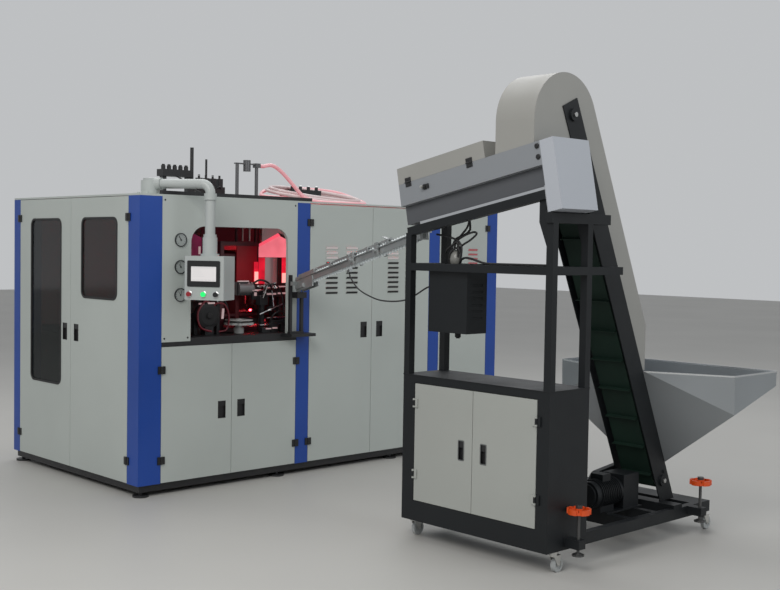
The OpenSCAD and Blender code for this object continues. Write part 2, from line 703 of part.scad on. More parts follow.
// Valves, uprights and the front rail on the roof
module roof_valves() placed("#1c1c1c") {
    block([170, 20, roof_z], [1370, 50, roof_z + 24]);
    for (x = [590, 790]) block([x, 680, roof_z], [x + 30, 720, 2035]);
    block([580, 660, 2030], [825, 740, 2078]);
    for (k = [0:4]) post([606 + k * 46, 700, 2078 - eps], 15, 26);
    post([838, 700, roof_z], 24, 130);
    post([838, 700, roof_z], 12.5, 2241 - roof_z);
    // Valve manifold and a rod behind the roof opening
    block([1030, 910, roof_z], [1270, 960, 1990]);
    for (k = [0:3]) {
        block([1038 + k * 60, 914, 1990 - eps], [1074 + k * 60, 954, 2050]);
        post([1056 + k * 60, 934, 2050 - eps], 8, 24);
    }
    post([1157, 990, roof_z], 16, 130);
    post([1157, 990, roof_z], 8, 2192 - roof_z);
    // Low manifold under the coil of hose, and the fitting at the hose's end
    block([1690, 640, roof_z], [1970, 795, 1989.2]);
    for (k = [0:3]) post([1712 + k * 78, 670, 1989], 13, 26);
    block([1560, 440, roof_z], [1640, 500, roof_z + 62]);
    bar_x([1549, 470, roof_z + 40], 12, 12);
}

// Control arm: pivot, level tube, bend, drop tube and collars
module hmi_arm() placed("lightgray") {
    bend = 60;
    post([arm_x, arm_y, pivot_z + seat], 57, arm_z - pivot_z + 20);
    post([arm_x, arm_y, arm_z + 20], 44, 14);
    post([arm_x, arm_y, roof_z + 9], 20, pivot_z - roof_z);
    translate([arm_x, arm_y, arm_z]) rotate([0, 0, arm_turn]) {
        rotate([0, 90, 0]) cylinder(r = arm_r - 1, h = arm_reach - bend);
        rotate([0, 90, 0]) cylinder(r = arm_r + 8, h = 80);
        translate([arm_reach - bend, 0, -bend]) rotate([90, 0, 0]) rotate_extrude(angle = 90)
            translate([bend, 0]) circle(arm_r - 1);
        translate([arm_reach, 0, -bend - 40]) cylinder(r = arm_r + 8, h = 40);
        translate([arm_reach, 0, hmi_z1 + 6 - arm_z]) cylinder(r = arm_r, h = arm_z - bend - hmi_z1 - 6);
        translate([arm_reach, 0, sleeve_top + seat - arm_z]) cylinder(r = arm_r + 9, h = 18);
    }
}

// Local frame of the control box, its face towards local -Y
module at_box() translate([drop_x, drop_y, 0]) rotate([0, 0, arm_turn]) children();
button_xs = [-hmi_w / 2 + 36, 0, hmi_w / 2 - 50];

// Control box with a raised bezel, a sunk screen and button bores
module hmi_box() placed("lightgray") at_box() difference() {
    union() {
        translate([-hmi_w / 2, -hmi_d / 2, hmi_z0]) linear_extrude(hmi_h) round_rect(hmi_w, hmi_d, 8);
        translate([-110, -hmi_d / 2 - 5, hmi_z1 - 188]) upright(8) round_rect(220, 160, 8);
        translate([0, 0, hmi_z1 - eps]) cylinder(r = arm_r + 14, h = sleeve_top - hmi_z1);
        translate([0, 0, hmi_z1 - eps]) cylinder(r = arm_r + 26, h = 14);
        for (x = button_xs) translate([x, -hmi_d / 2 - 3, button_z]) rotate([-90, 0, 0]) cylinder(r = 19, h = 6);
    }
    translate([0, 0, hmi_z1 - 10]) cylinder(r = arm_r + run_gap, h = 200);
    translate([-84, -hmi_d / 2 - 9, hmi_z1 - 162]) cube([168, 6, 108]);
    for (x = button_xs) translate([x, -hmi_d / 2 - 9, button_z]) rotate([-90, 0, 0])
        cylinder(r = 10 + run_gap, h = 45);
}

// Push button: stem in the box's bore and a cap in front, k is its place from the left
module push_button(k) at_box() translate([button_xs[k], -hmi_d / 2 - 3, button_z]) rotate([-90, 0, 0]) {
    cylinder(r = 10, h = 30);
    translate([0, 0, -button_travel - 9]) cylinder(r = 15, h = 8.6);
    translate([0, 0, -button_travel - 1]) cylinder(r = 10, h = 6);
}

module stop_button() placed("red") push_button(0);

module start_button() placed("lime") push_button(1);

module mode_button() placed("black") push_button(2);

// Frame of the orienting unit: Y runs down the slope to the front, Z is square to it
module unit_frame() translate([0, unit_y, unit_z]) rotate([-slope, 0, 0]) children();

// Welded feeder frame with its cabinet
module feeder_frame() placed("#2a2e30") difference() {
    feeder_weldment();
    for (p = jack_at) post([p[0], p[1], 50], jack_r + run_gap, 200);
    for (p = caster_at) post([p[0], p[1], frame_z0 - 1], 6 + run_gap, 47);
}

module feeder_weldment() {
    fx = feeder_x0;
    fx2 = feeder_x1;
    y0 = feeder_y0;
    y1 = feeder_y1;
    rz = frame_z0 + base_rail_h;
    for (x = [fx, fx2 - tube]) {
        up = x > fx ? rear_lift : 0;
        block([x, y1 - tube, frame_z0], [x + tube, y1, far_post_top + up]);
        block([x, y0, frame_z0], [x + tube, y0 + tube, near_post_top]);
        block([x, y0, mid_rail_z], [x + tube, y1, mid_rail_z + tube]);
        block([x, y0, cab_z1 - 43], [x + tube, y1, cab_z1]);
        difference() {
            unit_frame() block([x, unit_rear + 10, up - trough_h - bright_h - 45],
                [x + tube, -35, up - trough_h - bright_h]);
            block([x - 1, y1, 1500], [x + tube + 1, y1 + 200, 1800]);
        }
        // Gusset between the near post and the sloping rail
        translate([x + 16, 0, 0]) rotate([90, 0, 90]) linear_extrude(8) polygon([[y0 + 1, near_post_top - 6],
            [y0 + tube - 1, 1550], [y0 + 100, 1700 + up], [y0 + 100, 1812 + up], [y0 + 60, 1812 + up],
            [y0 + 60, 1762 + up], [y0 + tube + 2, near_post_top]]);
    }
    // Cabinet skins, open at the front behind the doors
    block([fx, y0, frame_z0], [fx2, y0 + 3, cab_z1]);
    block([fx, y1 - 3, frame_z0], [fx2, y1, cab_z1]);
    block([fx2 - 3, y0, frame_z0], [fx2, y1, cab_z1]);
    block([fx - 2, y0 - 2, cab_z1 - 5], [fx2 + 2, y1 + 2, cab_z1]);
    block([fx, y0, frame_z0], [fx2, y1, frame_z0 + 6]);
    difference() {
        block([fx, y0, frame_z0], [fx + 3, y1, cab_z1]);
        block([fx - 1, feed_door_y0 - door_gap, feed_door_z0 - door_gap],
            [fx + 4, feed_door_y1 + door_gap, feed_door_z0 + door_h_feed + door_gap]);
    }
    block([fx + 2, y0 + tube - 1, frame_z0], [fx + tube, y1 - tube + 1, frame_z0 + 111 - pan_depth]);
    // Fixed hinge halves of the cabinet doors
    for (z = [143, 524]) {
        translate([fx - pin_out, feed_door_y1 + door_gap / 2, feed_door_z0 + z]) rotate([0, 0, -90]) fixed_hinge(-1);
        translate([fx - pin_out, feed_door_y0 - door_gap / 2, feed_door_z0 + z]) rotate([0, 0, -90]) fixed_hinge(1);
    }
    // Cross rails at mid height and under the unit
    for (y = [y0, y1 - tube], z = [mid_rail_z, cab_z1 - 43]) block([fx, y, z], [fx2, y + tube, z + tube]);
    block([fx - 12, y0, near_post_top - 50], [elev_link_x(near_post_top - 25), y0 + tube, near_post_top]);
    block([elev_link_x(near_post_top - 25) - tube, y0, near_post_top - 50],
        [elev_link_x(near_post_top - 25), elev_y0, near_post_top]);
    block([fx2 - 1, y0, mid_rail_z], [elev_link_x(mid_rail_z + 20), y0 + tube, mid_rail_z + tube]);
    block([elev_link_x(mid_rail_z + 20) - tube, y0, mid_rail_z],
        [elev_link_x(mid_rail_z + 20), elev_y0, mid_rail_z + tube]);
    // Base rails and cross beams behind the cabinet
    for (y = [y0, y1 - tube]) block([fx, y, frame_z0], [base_x1, y + tube, rz]);
    for (x = [1330, 1560]) block([x, y0, frame_z0], [x + tube, y1, rz]);
    block([foot_beam_x - 40, y0, frame_z0], [foot_beam_x + 40, y1, frame_z0 + 80]);
    block([base_x1 - 145, y0, frame_z0], [base_x1, y1, rz]);
    // Lugs with the jacks' threads
    for (p = jack_at) {
        near = p[1] < elev_mid;
        block([p[0] - 26, near ? p[1] - 24 : y1 - 10, rz - 45], [p[0] + 26, near ? y0 + 10 : p[1] + 24, rz]);
    }
}

// End of a link at height z, just over the front edge of the elevator rail
function elev_link_x(z) = foot_x - half_d / cos(lean) - (z - foot_z) * tan(lean) + 8;

// Doors of the feeder cabinet
feed_mid = (feed_door_y0 + feed_door_y1) / 2;
feed_w = (feed_door_y1 - feed_door_y0 - door_gap) / 2;

module feeder_door_left() placed("silver") on_end(feeder_x0, feed_door_y1, feed_door_z0)
    leaf(feed_w, door_h_feed, -1, [143, 524], 314, pw = 34, ph = 96);

module feeder_door_right() placed("silver") on_end(feeder_x0, feed_mid - door_gap / 2, feed_door_z0)
    leaf(feed_w, door_h_feed, 1, [143, 524], 314, pw = 34, ph = 96);

// Box of switchgear behind the middle rail
module electric_box() placed("#34383a") {
    x0 = feeder_x0 + tube;
    difference() {
        block([x0, -2105, 1125], [x0 + 153, -1830, 1450]);
        for (k = [0:5]) block([x0 + 40, -2106, 1200 + k * 34], [x0 + 120, -2102, 1212 + k * 34]);
    }
    block([x0, -2085, 1449], [x0 + 4, -1850, mid_rail_z + tube - 4]);
    post([x0 + 60, -1990, 1101], 16, 24.5);
    post([x0 + 60, -1990, 1095], 11, 10);
}

// Frame of the elevator: Z runs up the incline, X is square to it towards the back
module elev_frame() translate([foot_x, 0, foot_z]) rotate([0, -lean, 0]) children();

// Elevator rails with bearing bosses, tie bars and the belt tensioner
module elevator_rails() placed("#26282a") difference() {
    union() {
        difference() {
            elev_frame() for (y = [elev_y0, elev_y1 - rail_t])
                block([-half_d, y, -240], [half_d, y + rail_t, head_w + 67]);
            block([foot_x - 300, elev_y0 - 50, -100], [foot_x + 300, elev_y1 + 50, frame_z0 + 80]);
        }
        elev_frame() {
            for (w = [300, 800, 1300, 1750]) bar_y([0, elev_y0 + 1, w], 12, elev_w - 2);
            for (w = [0, head_w], y = [elev_y0 - 12, elev_y1 - 1]) bar_y([0, y, w], 32, 13);
            for (w = [-70, head_w + 50]) bar_y([half_d - 16, elev_y0 + 1, w], 8, elev_w - 2);
            bar_y([30, elev_y0 - 8, 40], 9, 10);
        }
    }
    elev_frame() for (w = [0, head_w]) bar_y([0, elev_y0 - 50, w], 12 + run_gap, elev_w + 100);
}

// Outline of the cover and hood seen from the side
module cover_outline(inset) {
    n0 = 20;
    xo = hood_x + (hood_r - inset) * cos(lean);
    zo = hood_z + (hood_r - inset) * sin(lean);
    low_x = 1576 - inset;
    difference() {
        union() {
            translate([hood_x, hood_z]) circle(hood_r - inset, $fn = 96);
            polygon([[unit_x0 + inset, hood_z], [unit_x0 + inset, 1900], [hood_x + 2 * hood_r, 1900],
                [xo, zo], [hood_x, hood_z]]);
            translate([foot_x, foot_z]) rotate(lean) square([cover_n - inset, (top_z - foot_z) / cos(lean) - 380]);
        }
        translate([foot_x, foot_z]) rotate(lean) translate([-900, -100]) square([900 + n0, head_w - 206]);
        translate([foot_x, foot_z]) rotate(lean) translate([-900, 1000]) square([900 - half_d, head_w - 1206]);
        translate([low_x, 0]) square([2000, 3000]);
        translate([0, 0]) square([3000, 926]);
        translate([foot_x, foot_z]) rotate(lean) translate([cover_n - inset, -200]) square([900, 4000]);
    }
}

// Folded cover over the carrying run, with the arched hood over the orienting unit
module elevator_cover() placed("whitesmoke") {
    y0 = elev_y0 + rail_t + eps;
    w = elev_w - 2 * (rail_t + eps);
    difference() {
        translate([0, y0, 0]) upright(w) cover_outline(0);
        difference() {
            translate([0, y0 + sheet, 0]) upright(w - 2 * sheet) cover_outline(sheet);
            // Keeps the front wall of the hood closed down to the unit
            block([unit_x0 - 1, y0 - 1, 1800], [unit_x0 + sheet, y0 + w + 1, hood_z]);
        }
        // Opens the inner side along the belt and the lower end above the hopper
        translate([0, y0 + sheet, 0]) upright(w - 2 * sheet) translate([foot_x, foot_z]) rotate(lean)
            translate([10, 0]) square([cover_d + 30, head_w - 426]);
        unit_frame() block([unit_x0 - 50, -2000, -900], [unit_x1 + 8, 200, unit_side_h]);
        elev_frame() bar_y([0, elev_y0 - 50, head_w], 16, elev_w + 100);
        elev_frame() bar_y([half_d - 16, elev_y0 - 50, head_w + 50], 9, elev_w + 100);
    }
}

// Belt loop with cleats, round both drums
module elevator_belt() placed("#12301f") elev_frame() translate([0, elev_mid - belt_w / 2, 0]) upright(belt_w) {
    r = drum_r + seat;
    difference() {
        union() {
            circle(r + belt_t);
            translate([0, head_w]) circle(r + belt_t);
            translate([-r - belt_t, 0]) square([2 * (r + belt_t), head_w]);
        }
        circle(r);
        translate([0, head_w]) circle(r);
        translate([-r, 0]) square([2 * r, head_w]);
    }
    for (w = [60:cleat_pitch:head_w - 20], s = [-1, 1])
        translate([s < 0 ? -r - belt_t - cleat_h : r + belt_t - 1, w]) square([cleat_h + 1, 5]);
}

// Crowned drum on its shaft
module drum(w, tail = 0) elev_frame() {
    bar_y([0, elev_mid - belt_w / 2, w], drum_r, belt_w);
    bar_y([0, elev_y0 - 20, w], 12, elev_w + 40 + tail);
}

module drum_head() placed("silver") drum(head_w);

module drum_foot() placed("silver") {
    drum(0, tail = 24);
    elev_frame() bar_y([0, elev_y1 + 22, 0], 34, 8);
}

// Back edge of the elevator rails at height z
function edge_x(z) = foot_x + rail_back - (z - foot_z) * tan(lean);

// Solid form of the hopper, drawn in by i
module hopper_form(i, up) polyhedron([for (s = [-1, 1]) each [
    [edge_x(rim_z) + i, elev_mid + s * (elev_w / 2 - i), rim_z + up],
    [hopper_x1, elev_mid + s * (hopper_half - i), rim_z + up],
    [hopper_x2 - i, elev_mid + s * (hopper_half - i), rim_z + up],
    [edge_x(400) + i, elev_mid + s * (elev_w / 2 - i), 400 + i],
    [hopper_x1 + 5, elev_mid + s * (hopper_half - i), 714 + i],
    [hopper_x2 - i, elev_mid + s * (hopper_half - i), 839 + i]]], [
    [6, 7, 8, 2, 1, 0], [6, 0, 3, 9], [2, 8, 11, 5], [1, 2, 5, 4], [8, 7, 10, 11],
    [0, 1, 4], [0, 4, 3], [6, 10, 7], [6, 9, 10], [3, 5, 11, 9], [3, 4, 5], [9, 11, 10]]);

// Open hopper of stainless sheet, its low edge along the rails
module hopper() placed("silver") {
    lip = 2.5;
    difference() {
        hopper_form(0, 0);
        hopper_form(lip, 1);
        // Opening onto the belt between the rails
        elev_frame() block([half_d - 60, elev_y0 + rail_t, 20], [half_d + 30, elev_y1 - rail_t, 900]);
    }
    // Rolled rim round the outer edges
    block([hopper_x2 - lip, hopper_y0, rim_z - 16], [hopper_x2 + 8, hopper_y1, rim_z]);
    for (y = [hopper_y0, hopper_y1 - lip]) block([hopper_x1, y, rim_z - 16], [hopper_x2, y + lip, rim_z]);
}

// Geared motor on its plate with the chain guard to the foot drum
module gear_motor() placed("#202224") {
    rz = frame_z0 + base_rail_h;
    block([1320, -2530, rz], [1640, -2360, rz + 8]);
    block([1480, -2520, rz + 7], [1620, -2380, rz + 190]);
    bar_x([1250, -2450, rz + 100], 72, 231);
    for (k = [0:10]) bar_x([1290 + k * 16, -2450, rz + 100], 80, 5);
    bar_x([1238, -2450, rz + 100], 60, 14);
    block([1300, -2500, rz + 5], [1420, -2400, rz + 60]);
    block([1330, -2490, rz + 165], [1400, -2410, rz + 205]);
    bar_y([1560, -2382, rz + 110], 14, -2382 * -1 + elev_y1 + 22);
    // Chain guard beyond the far rail, open towards the drum's sprocket
    gy = elev_y1 + 16;
    difference() {
        hull() {
            bar_y([1560, gy, rz + 110], 60, 34);
            bar_y([foot_x, gy, foot_z], 60, 34);
        }
        bar_y([foot_x, gy - 1, foot_z], 40, 33);
    }
}

// Hinges of the lid, on the unit's front side
lid_hinge_y = [-97, -544];
lid_hinge_h = 42;
lid_axis_x = unit_x0 - 4.7;

// One knuckle of the lid's hinges, its middle at y
module lid_knuckle(y, l) translate([lid_axis_x, y - l / 2, unit_side_h]) rotate([-90, 0, 0]) cylinder(r = 4.4, h = l);

// Trough of the orienting unit with its end plate and drive end box
module orienting_trough() placed("whitesmoke") unit_frame() {
    x0 = unit_x0;
    x1 = unit_x1;
    th = trough_h;
    difference() {
        union() {
            for (x = [x0, x1 - sheet]) block([x, unit_rear, 0], [x + sheet, unit_front, unit_side_h]);
            // Sloping floor sheets towards the rollers
            for (s = [-1, 1]) rotate([90, 0, 0]) translate([0, 0, -unit_front]) linear_extrude(unit_front - unit_rear)
                polygon([[roller_x + s * (unit_w / 2 - 1), 96], [roller_x + s * (unit_w / 2 - 1), 93],
                    [roller_x + s * 69, 63], [roller_x + s * 69, 0], [roller_x + s * 66, 0], [roller_x + s * 66, 65]]);
            for (s = [-1, 1]) block([roller_x + s * 104 - (s > 0 ? 0 : 3), unit_rear, -th],
                [roller_x + s * 104 + (s > 0 ? 3 : 0), unit_front, 3]);
            for (s = [-1, 1]) block([min(roller_x + s * 104, roller_x + s * 140), unit_rear, 0],
                [max(roller_x + s * 104, roller_x + s * 140), unit_front, 3]);
            block([roller_x - 106, unit_rear, -th], [roller_x + 106, unit_front, -th + 3]);
            // Bearing plates at both ends
            block([x0, unit_front - 10, -1], [x1, unit_front, unit_side_h]);
            block([roller_x - 106, unit_front - 10, -th], [roller_x + 106, unit_front, 1]);
            block([roller_x - 60, unit_front - 10, -139], [roller_x + 60, unit_front, -th + 1]);
            block([x0, unit_rear - tail_d, -tail_h], [x1, unit_rear + 6, unit_side_h]);
            // Polished carrying rails under the trough
            for (s = [-1, 1]) block([roller_x + s * 108 - 6, unit_rear, -th - bright_h],
                [roller_x + s * 108 + 6, -122, -th + 1]);
        }
        for (s = [-1, 1]) translate([roller_x + s * (roller_r + roller_gap / 2), unit_rear - 30, roller_z])
            rotate([-90, 0, 0]) cylinder(r = 8 + run_gap, h = 1100);
        // Exit for the hanging preforms
        block([roller_x - 18, unit_front - 11, -th + 20], [roller_x + 18, unit_front + 1, 20]);
    }
    // Fixed halves of the lid's hinges with their pins
    for (y = lid_hinge_y) {
        translate([lid_axis_x, y - lid_hinge_h / 2, unit_side_h]) rotate([-90, 0, 0]) cylinder(r = 2.5, h = lid_hinge_h);
        lid_knuckle(y, lid_hinge_h / 3);
        block([lid_axis_x, y - lid_hinge_h / 6, unit_side_h - 22], [unit_x0 + eps, y + lid_hinge_h / 6, unit_side_h]);
        block([unit_x0 - 3, y - lid_hinge_h / 2, unit_side_h - 24], [unit_x0 + eps, y + lid_hinge_h / 2, unit_side_h - 6]);
    }
    // Carrier plate that rests on the frame's rear sloping rail
    block([roller_x + 103, unit_rear + 30, rear_lift - trough_h - bright_h],
        [feeder_x1 - 14, -140, rear_lift - trough_h - bright_h + 8]);
}

// Lid over the front part of the unit, hinged on its front edge
module orienting_lid() placed("whitesmoke") unit_frame() {
    z0 = unit_side_h + seat;
    difference() {
        block([unit_x0, lid_rear, z0], [unit_x1, unit_front, z0 + lid_h]);
        block([unit_x0 + sheet, lid_rear + sheet, z0 - 1], [unit_x1 - sheet, unit_front - sheet, z0 + lid_h - sheet]);
    }
    for (y = lid_hinge_y, s = [-1, 1]) difference() {
        union() {
            lid_knuckle(y + s * lid_hinge_h / 3, lid_hinge_h / 3 - 2 * seat);
            block([lid_axis_x, y + (s < 0 ? -lid_hinge_h / 2 + seat : lid_hinge_h / 6 + seat), z0],
                [unit_x0 + eps, y + (s < 0 ? -lid_hinge_h / 6 - seat : lid_hinge_h / 2 - seat), z0 + 24]);
            block([unit_x0 - 3, y + min(0, s * lid_hinge_h / 3), z0 + 5],
                [unit_x0 + eps, y + max(0, s * lid_hinge_h / 3), z0 + 24]);
        }
        translate([lid_axis_x, y - lid_hinge_h, unit_side_h]) rotate([-90, 0, 0])
            cylinder(r = 2.5 + run_gap, h = 2 * lid_hinge_h);
    }
}

// Fluted roller with shaft ends, s is its side
module roller(s) unit_frame() translate([roller_x + s * (roller_r + roller_gap / 2), 0, roller_z]) {
    translate([0, unit_rear + 6 + seat, 0]) rotate([-90, 0, 0])
        cylinder(r = roller_r, h = unit_front - 10 - unit_rear - 6 - 2 * seat);
    translate([0, unit_rear - 26, 0]) rotate([-90, 0, 0]) cylinder(r = 8, h = unit_front - unit_rear + 30);
}

module roller_a() placed("silver") roller(-1);

module roller_b() placed("silver") roller(1);

// Gravity chute: Y runs down it from the unit's end plate
module chute_frame() translate(chute_top) rotate([0, 0, -chute_turn]) rotate([-chute_pitch, 0, 0]) children();

module chute() placed("gray") {
    g = chute_gap / 2;
    h = chute_rail_h / 2;
    chute_frame() {
        for (s = [-1, 1]) {
            block([min(s * g, s * (g + 6)), -13, -h], [max(s * g, s * (g + 6)), chute_len, h]);
            block([min(s * (g - 4), s * (g + 1)), -13, h - 4], [max(s * (g - 4), s * (g + 1)), chute_len, h]);
            // Outer stiffening edge along each rail
            block([min(s * (g + 5), s * (g + 16)), -2, h - 4], [max(s * (g + 5), s * (g + 16)), chute_len, h]);
        }
        // Arches over the preforms' necks carry the top guard
        for (y = [90:260:1620]) {
            for (s = [-1, 1]) block([s * (g + 12) - 3, y - 12, h - 4.5], [s * (g + 12) + 3, y + 12, h + 28]);
            block([-g - 15, y - 12, h + 22], [g + 15, y + 12, h + 28]);
        }
        block([-5, 340, h + 18], [5, chute_len - 10, h + 34]);
        // Clamps with knobs
        for (y = [478, 800]) {
            for (s = [-1, 1]) {
                block([s * (g + 18) - 5, y - 16, -h - 10], [s * (g + 18) + 5, y + 16, h + 28]);
                block([s * (g + 14) - 9, y - 16, -h + 2], [s * (g + 14) + 5, y + 16, -h + 12]);
            }
            block([-g - 23, y - 16, h + 22], [g + 23, y + 16, h + 29]);
            translate([-g - 42, y, 0]) rotate([0, 90, 0]) cylinder(r = 11, h = 26);
        }
        // Sensor beside the rail
        block([g + 5, 950, -h - 24], [g + 27, 986, -h + 12]);
        // Lifted tab near the top
        translate([0, 380, h + 30]) rotate([24, 0, 0]) block([-14, -60, 0], [14, 60, 4]);
        // End plates
        for (s = [-1, 1]) block([min(s * (g + 5), s * (g + 11)), 1420, -60], [max(s * (g + 5), s * (g + 11)), chute_len, h + 16]);
        block([-34, 1560, -46], [34, chute_len - 10, -h + 1]);
    }
    // Flange on the unit's end plate
    unit_frame() difference() {
        block([roller_x - 22, unit_front, -176], [roller_x + 42, unit_front + 10, -112]);
        block([roller_x - 3, unit_front - 1, -166], [roller_x + 23, unit_front + 11, -111]);
    }
    // Arm to the infeed stand
    e = chute_end;
    block(e + [-66, -16, -16], e + [-11, 8, 10]);
    block([e[0] - 19, e[1] - 16, stand_z], [e[0] + 5, e[1] - 2, e[2] - 30]);
}

// Sprocketless caster fork on its stem, in the base beam's bore
caster_at = [[693, -1710], [693, -2670], [2045, -2670], [2045, -1710]];
jack_out = handwheel_r + 5;
jack_at = [for (y = [feeder_y0 - jack_out, feeder_y1 + jack_out], x = [776, 1868]) [x, y]];
cheek_t = 3;

module caster_fork(k) placed("silver") translate([caster_at[k][0], caster_at[k][1], 0]) {
    crown_z = 2 * wheel_r + 5;
    post([0, 0, crown_z], 6, frame_z0 + 44 - crown_z);
    post([0, 0, frame_z0 - seat - 8], 22, 8);
    block([-16, -wheel_w / 2 - 6, crown_z], [caster_trail + 12, wheel_w / 2 + 6, crown_z + 6]);
    post([0, 0, crown_z], 18, frame_z0 - seat - 4 - crown_z);
    for (s = [-1, 1]) translate([0, s > 0 ? wheel_w / 2 + cheek_t + 0.5 : -wheel_w / 2 - 0.5, 0]) rotate([90, 0, 0])
        linear_extrude(cheek_t) polygon([[-14, crown_z + 5], [caster_trail + 10, crown_z + 5],
            [caster_trail + 10, wheel_r - 6], [caster_trail - 10, wheel_r - 6]]);
    bar_y([caster_trail, -wheel_w / 2 - cheek_t - 3, wheel_r], 5, wheel_w + 2 * cheek_t + 6);
}

module caster_wheel(k) placed("lightgray") translate([caster_at[k][0] + caster_trail, caster_at[k][1], wheel_r])
    rotate([90, 0, 0]) difference() {
        union() {
            translate([0, 0, -wheel_w / 2 + 3]) cylinder(r = wheel_r, h = wheel_w - 6);
            translate([0, 0, -wheel_w / 2]) cylinder(r = wheel_r - 12, h = wheel_w);
            translate([0, 0, -wheel_w / 2 + 0.5]) cylinder(r = wheel_r - 3, h = wheel_w - 1);
        }
        translate([0, 0, -wheel_w]) cylinder(r = 5 + run_gap, h = 2 * wheel_w);
        for (s = [-1, 1]) translate([0, 0, s > 0 ? wheel_w / 2 - 5 : -wheel_w / 2 - 1]) difference() {
            cylinder(r = wheel_r - 15, h = 6);
            cylinder(r = 11, h = 6);
        }
    }

// Screw jack with its pad and handwheel
module jack(k) placed("orangered") translate([jack_at[k][0], jack_at[k][1], 0]) {
    post([0, 0, jack_pad_z + 4], jack_r, 225);
    post([0, 0, jack_pad_z], 30, 8);
    post([0, 0, jack_pad_z + 6], 18, 8);
    difference() {
        post([0, 0, 292], handwheel_r, 26);
        for (a = [0:72:288]) rotate(a) translate([handwheel_r + 4, 0, 0]) post([0, 0, 290], 14, 30);
        difference() {
            post([0, 0, 306], handwheel_r - 10, 20);
            post([0, 0, 300], 20, 30);
        }
    }
    post([0, 0, 292], 17, 42);
}

// Smooth path through hand-set points, for cords
function curve(p, a, b, c, t) = 0.5 * ((2 * a) + (b - p) * t + (2 * p - 5 * a + 4 * b - c) * t * t
    + (3 * a - p - 3 * b + c) * t * t * t);
function smooth(p, n) = concat([for (i = [0:len(p) - 2], k = [0:n - 1])
    curve(p[max(i - 1, 0)], p[i], p[i + 1], p[min(i + 2, len(p) - 1)], k / n)], [p[len(p) - 1]]);
function unit(v) = v / norm(v);
function heading(p, i) = unit(p[min(i + 1, len(p) - 1)] - p[max(i - 1, 0)]);
function across(v, t) = unit(v - (v * t) * t);
function sides(p, i, v) = i >= len(p) ? [] : let (s = across(v, heading(p, i))) concat([s], sides(p, i + 1, s));

// Round cord of diameter d along a path, with m faces round it
module cord(pts, d, n = 2, m = 8, start = [1, 0.2, 0]) {
    p = smooth(pts, n);
    s = sides(p, 0, start);
    ring = [for (i = [0:len(p) - 1], k = [0:m - 1])
        p[i] + d / 2 * (cos(360 * k / m) * s[i] + sin(360 * k / m) * cross(heading(p, i), s[i]))];
    faces = concat([[for (k = [m - 1:-1:0]) k]], [[for (k = [0:m - 1]) (len(p) - 1) * m + k]],
        [for (i = [0:len(p) - 2], k = [0:m - 1]) [i * m + k, i * m + (k + 1) % m, (i + 1) * m + (k + 1) % m]],
        [for (i = [0:len(p) - 2], k = [0:m - 1]) [i * m + k, (i + 1) * m + (k + 1) % m, (i + 1) * m + k]]);
    polyhedron(ring, [for (f = faces) [for (j = [len(f) - 1:-1:0]) f[j]]]);
}

module air_hose() placed("lightgray") cord(hose_pts, hose_d, start = [0, 1, 0.1]);

module sensor_cable() placed("black") cord(sensor_pts, sensor_d);

module feeder_cables() placed("black") {
    cord(lead_pts, lead_d);
    cord(rail_lead_pts, lead_d);
}

base_frame();
corner_posts();
housing_panels();
front_fascia();
work_table();
pressure_gauges();
door_hinges();
oven_housing();
oven_lamps();
blow_frame();
roof_valves();
feeder_frame();
electric_box();
elevator_rails();
elevator_cover();
elevator_belt();
hopper();
gear_motor();
orienting_trough();
chute();
air_hose();
sensor_cable();
feeder_cables();
end_door_rear();
end_door_front();
end_window_rear();
end_window_front();
lower_door_left();
lower_door_right();
tall_door_left();
tall_door_right();
side_door();
hmi_arm();
hmi_box();
stop_button();
start_button();
mode_button();
mould_left();
mould_right();
stretch_head();
star_wheel();
feeder_door_left();
feeder_door_right();
orienting_lid();
roller_a();
roller_b();
drum_head();
drum_foot();
caster_fork(0);  // caster_fork_1
caster_fork(1);  // caster_fork_2
caster_fork(2);  // caster_fork_3
caster_fork(3);  // caster_fork_4
caster_wheel(0);  // caster_wheel_1
caster_wheel(1);  // caster_wheel_2
caster_wheel(2);  // caster_wheel_3
caster_wheel(3);  // caster_wheel_4
jack(0);  // jack_1
jack(1);  // jack_2
jack(2);  // jack_3
jack(3);  // jack_4
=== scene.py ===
"""Looks of the blow moulding machine and its preform feeder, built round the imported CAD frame."""

import math

import bpy
from mathutils import Matrix, Vector


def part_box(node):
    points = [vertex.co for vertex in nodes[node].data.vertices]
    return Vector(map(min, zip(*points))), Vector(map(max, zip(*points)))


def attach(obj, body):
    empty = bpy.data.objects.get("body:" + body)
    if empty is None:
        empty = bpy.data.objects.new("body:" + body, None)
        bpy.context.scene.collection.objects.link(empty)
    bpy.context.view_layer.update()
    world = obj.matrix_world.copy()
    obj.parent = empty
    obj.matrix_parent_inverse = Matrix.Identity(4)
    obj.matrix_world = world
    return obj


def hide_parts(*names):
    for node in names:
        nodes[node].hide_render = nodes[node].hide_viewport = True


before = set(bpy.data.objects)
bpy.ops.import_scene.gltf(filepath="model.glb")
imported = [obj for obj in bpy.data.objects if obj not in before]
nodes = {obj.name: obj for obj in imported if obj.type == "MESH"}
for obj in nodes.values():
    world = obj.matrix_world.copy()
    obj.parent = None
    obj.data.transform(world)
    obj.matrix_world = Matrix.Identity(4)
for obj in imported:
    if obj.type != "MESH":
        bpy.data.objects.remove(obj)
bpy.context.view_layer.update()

# The machine frame of part.scad inside the shared frame: millimetres in, metres out
SHIFT = Vector((-1.6333, 0.66725, 0.0))
MM = 1000


def degrees(angle, axis):
    return Matrix.Rotation(math.radians(angle), 4, axis)


def at(x, y, z):
    return Vector((x, y, z)) / MM + SHIFT


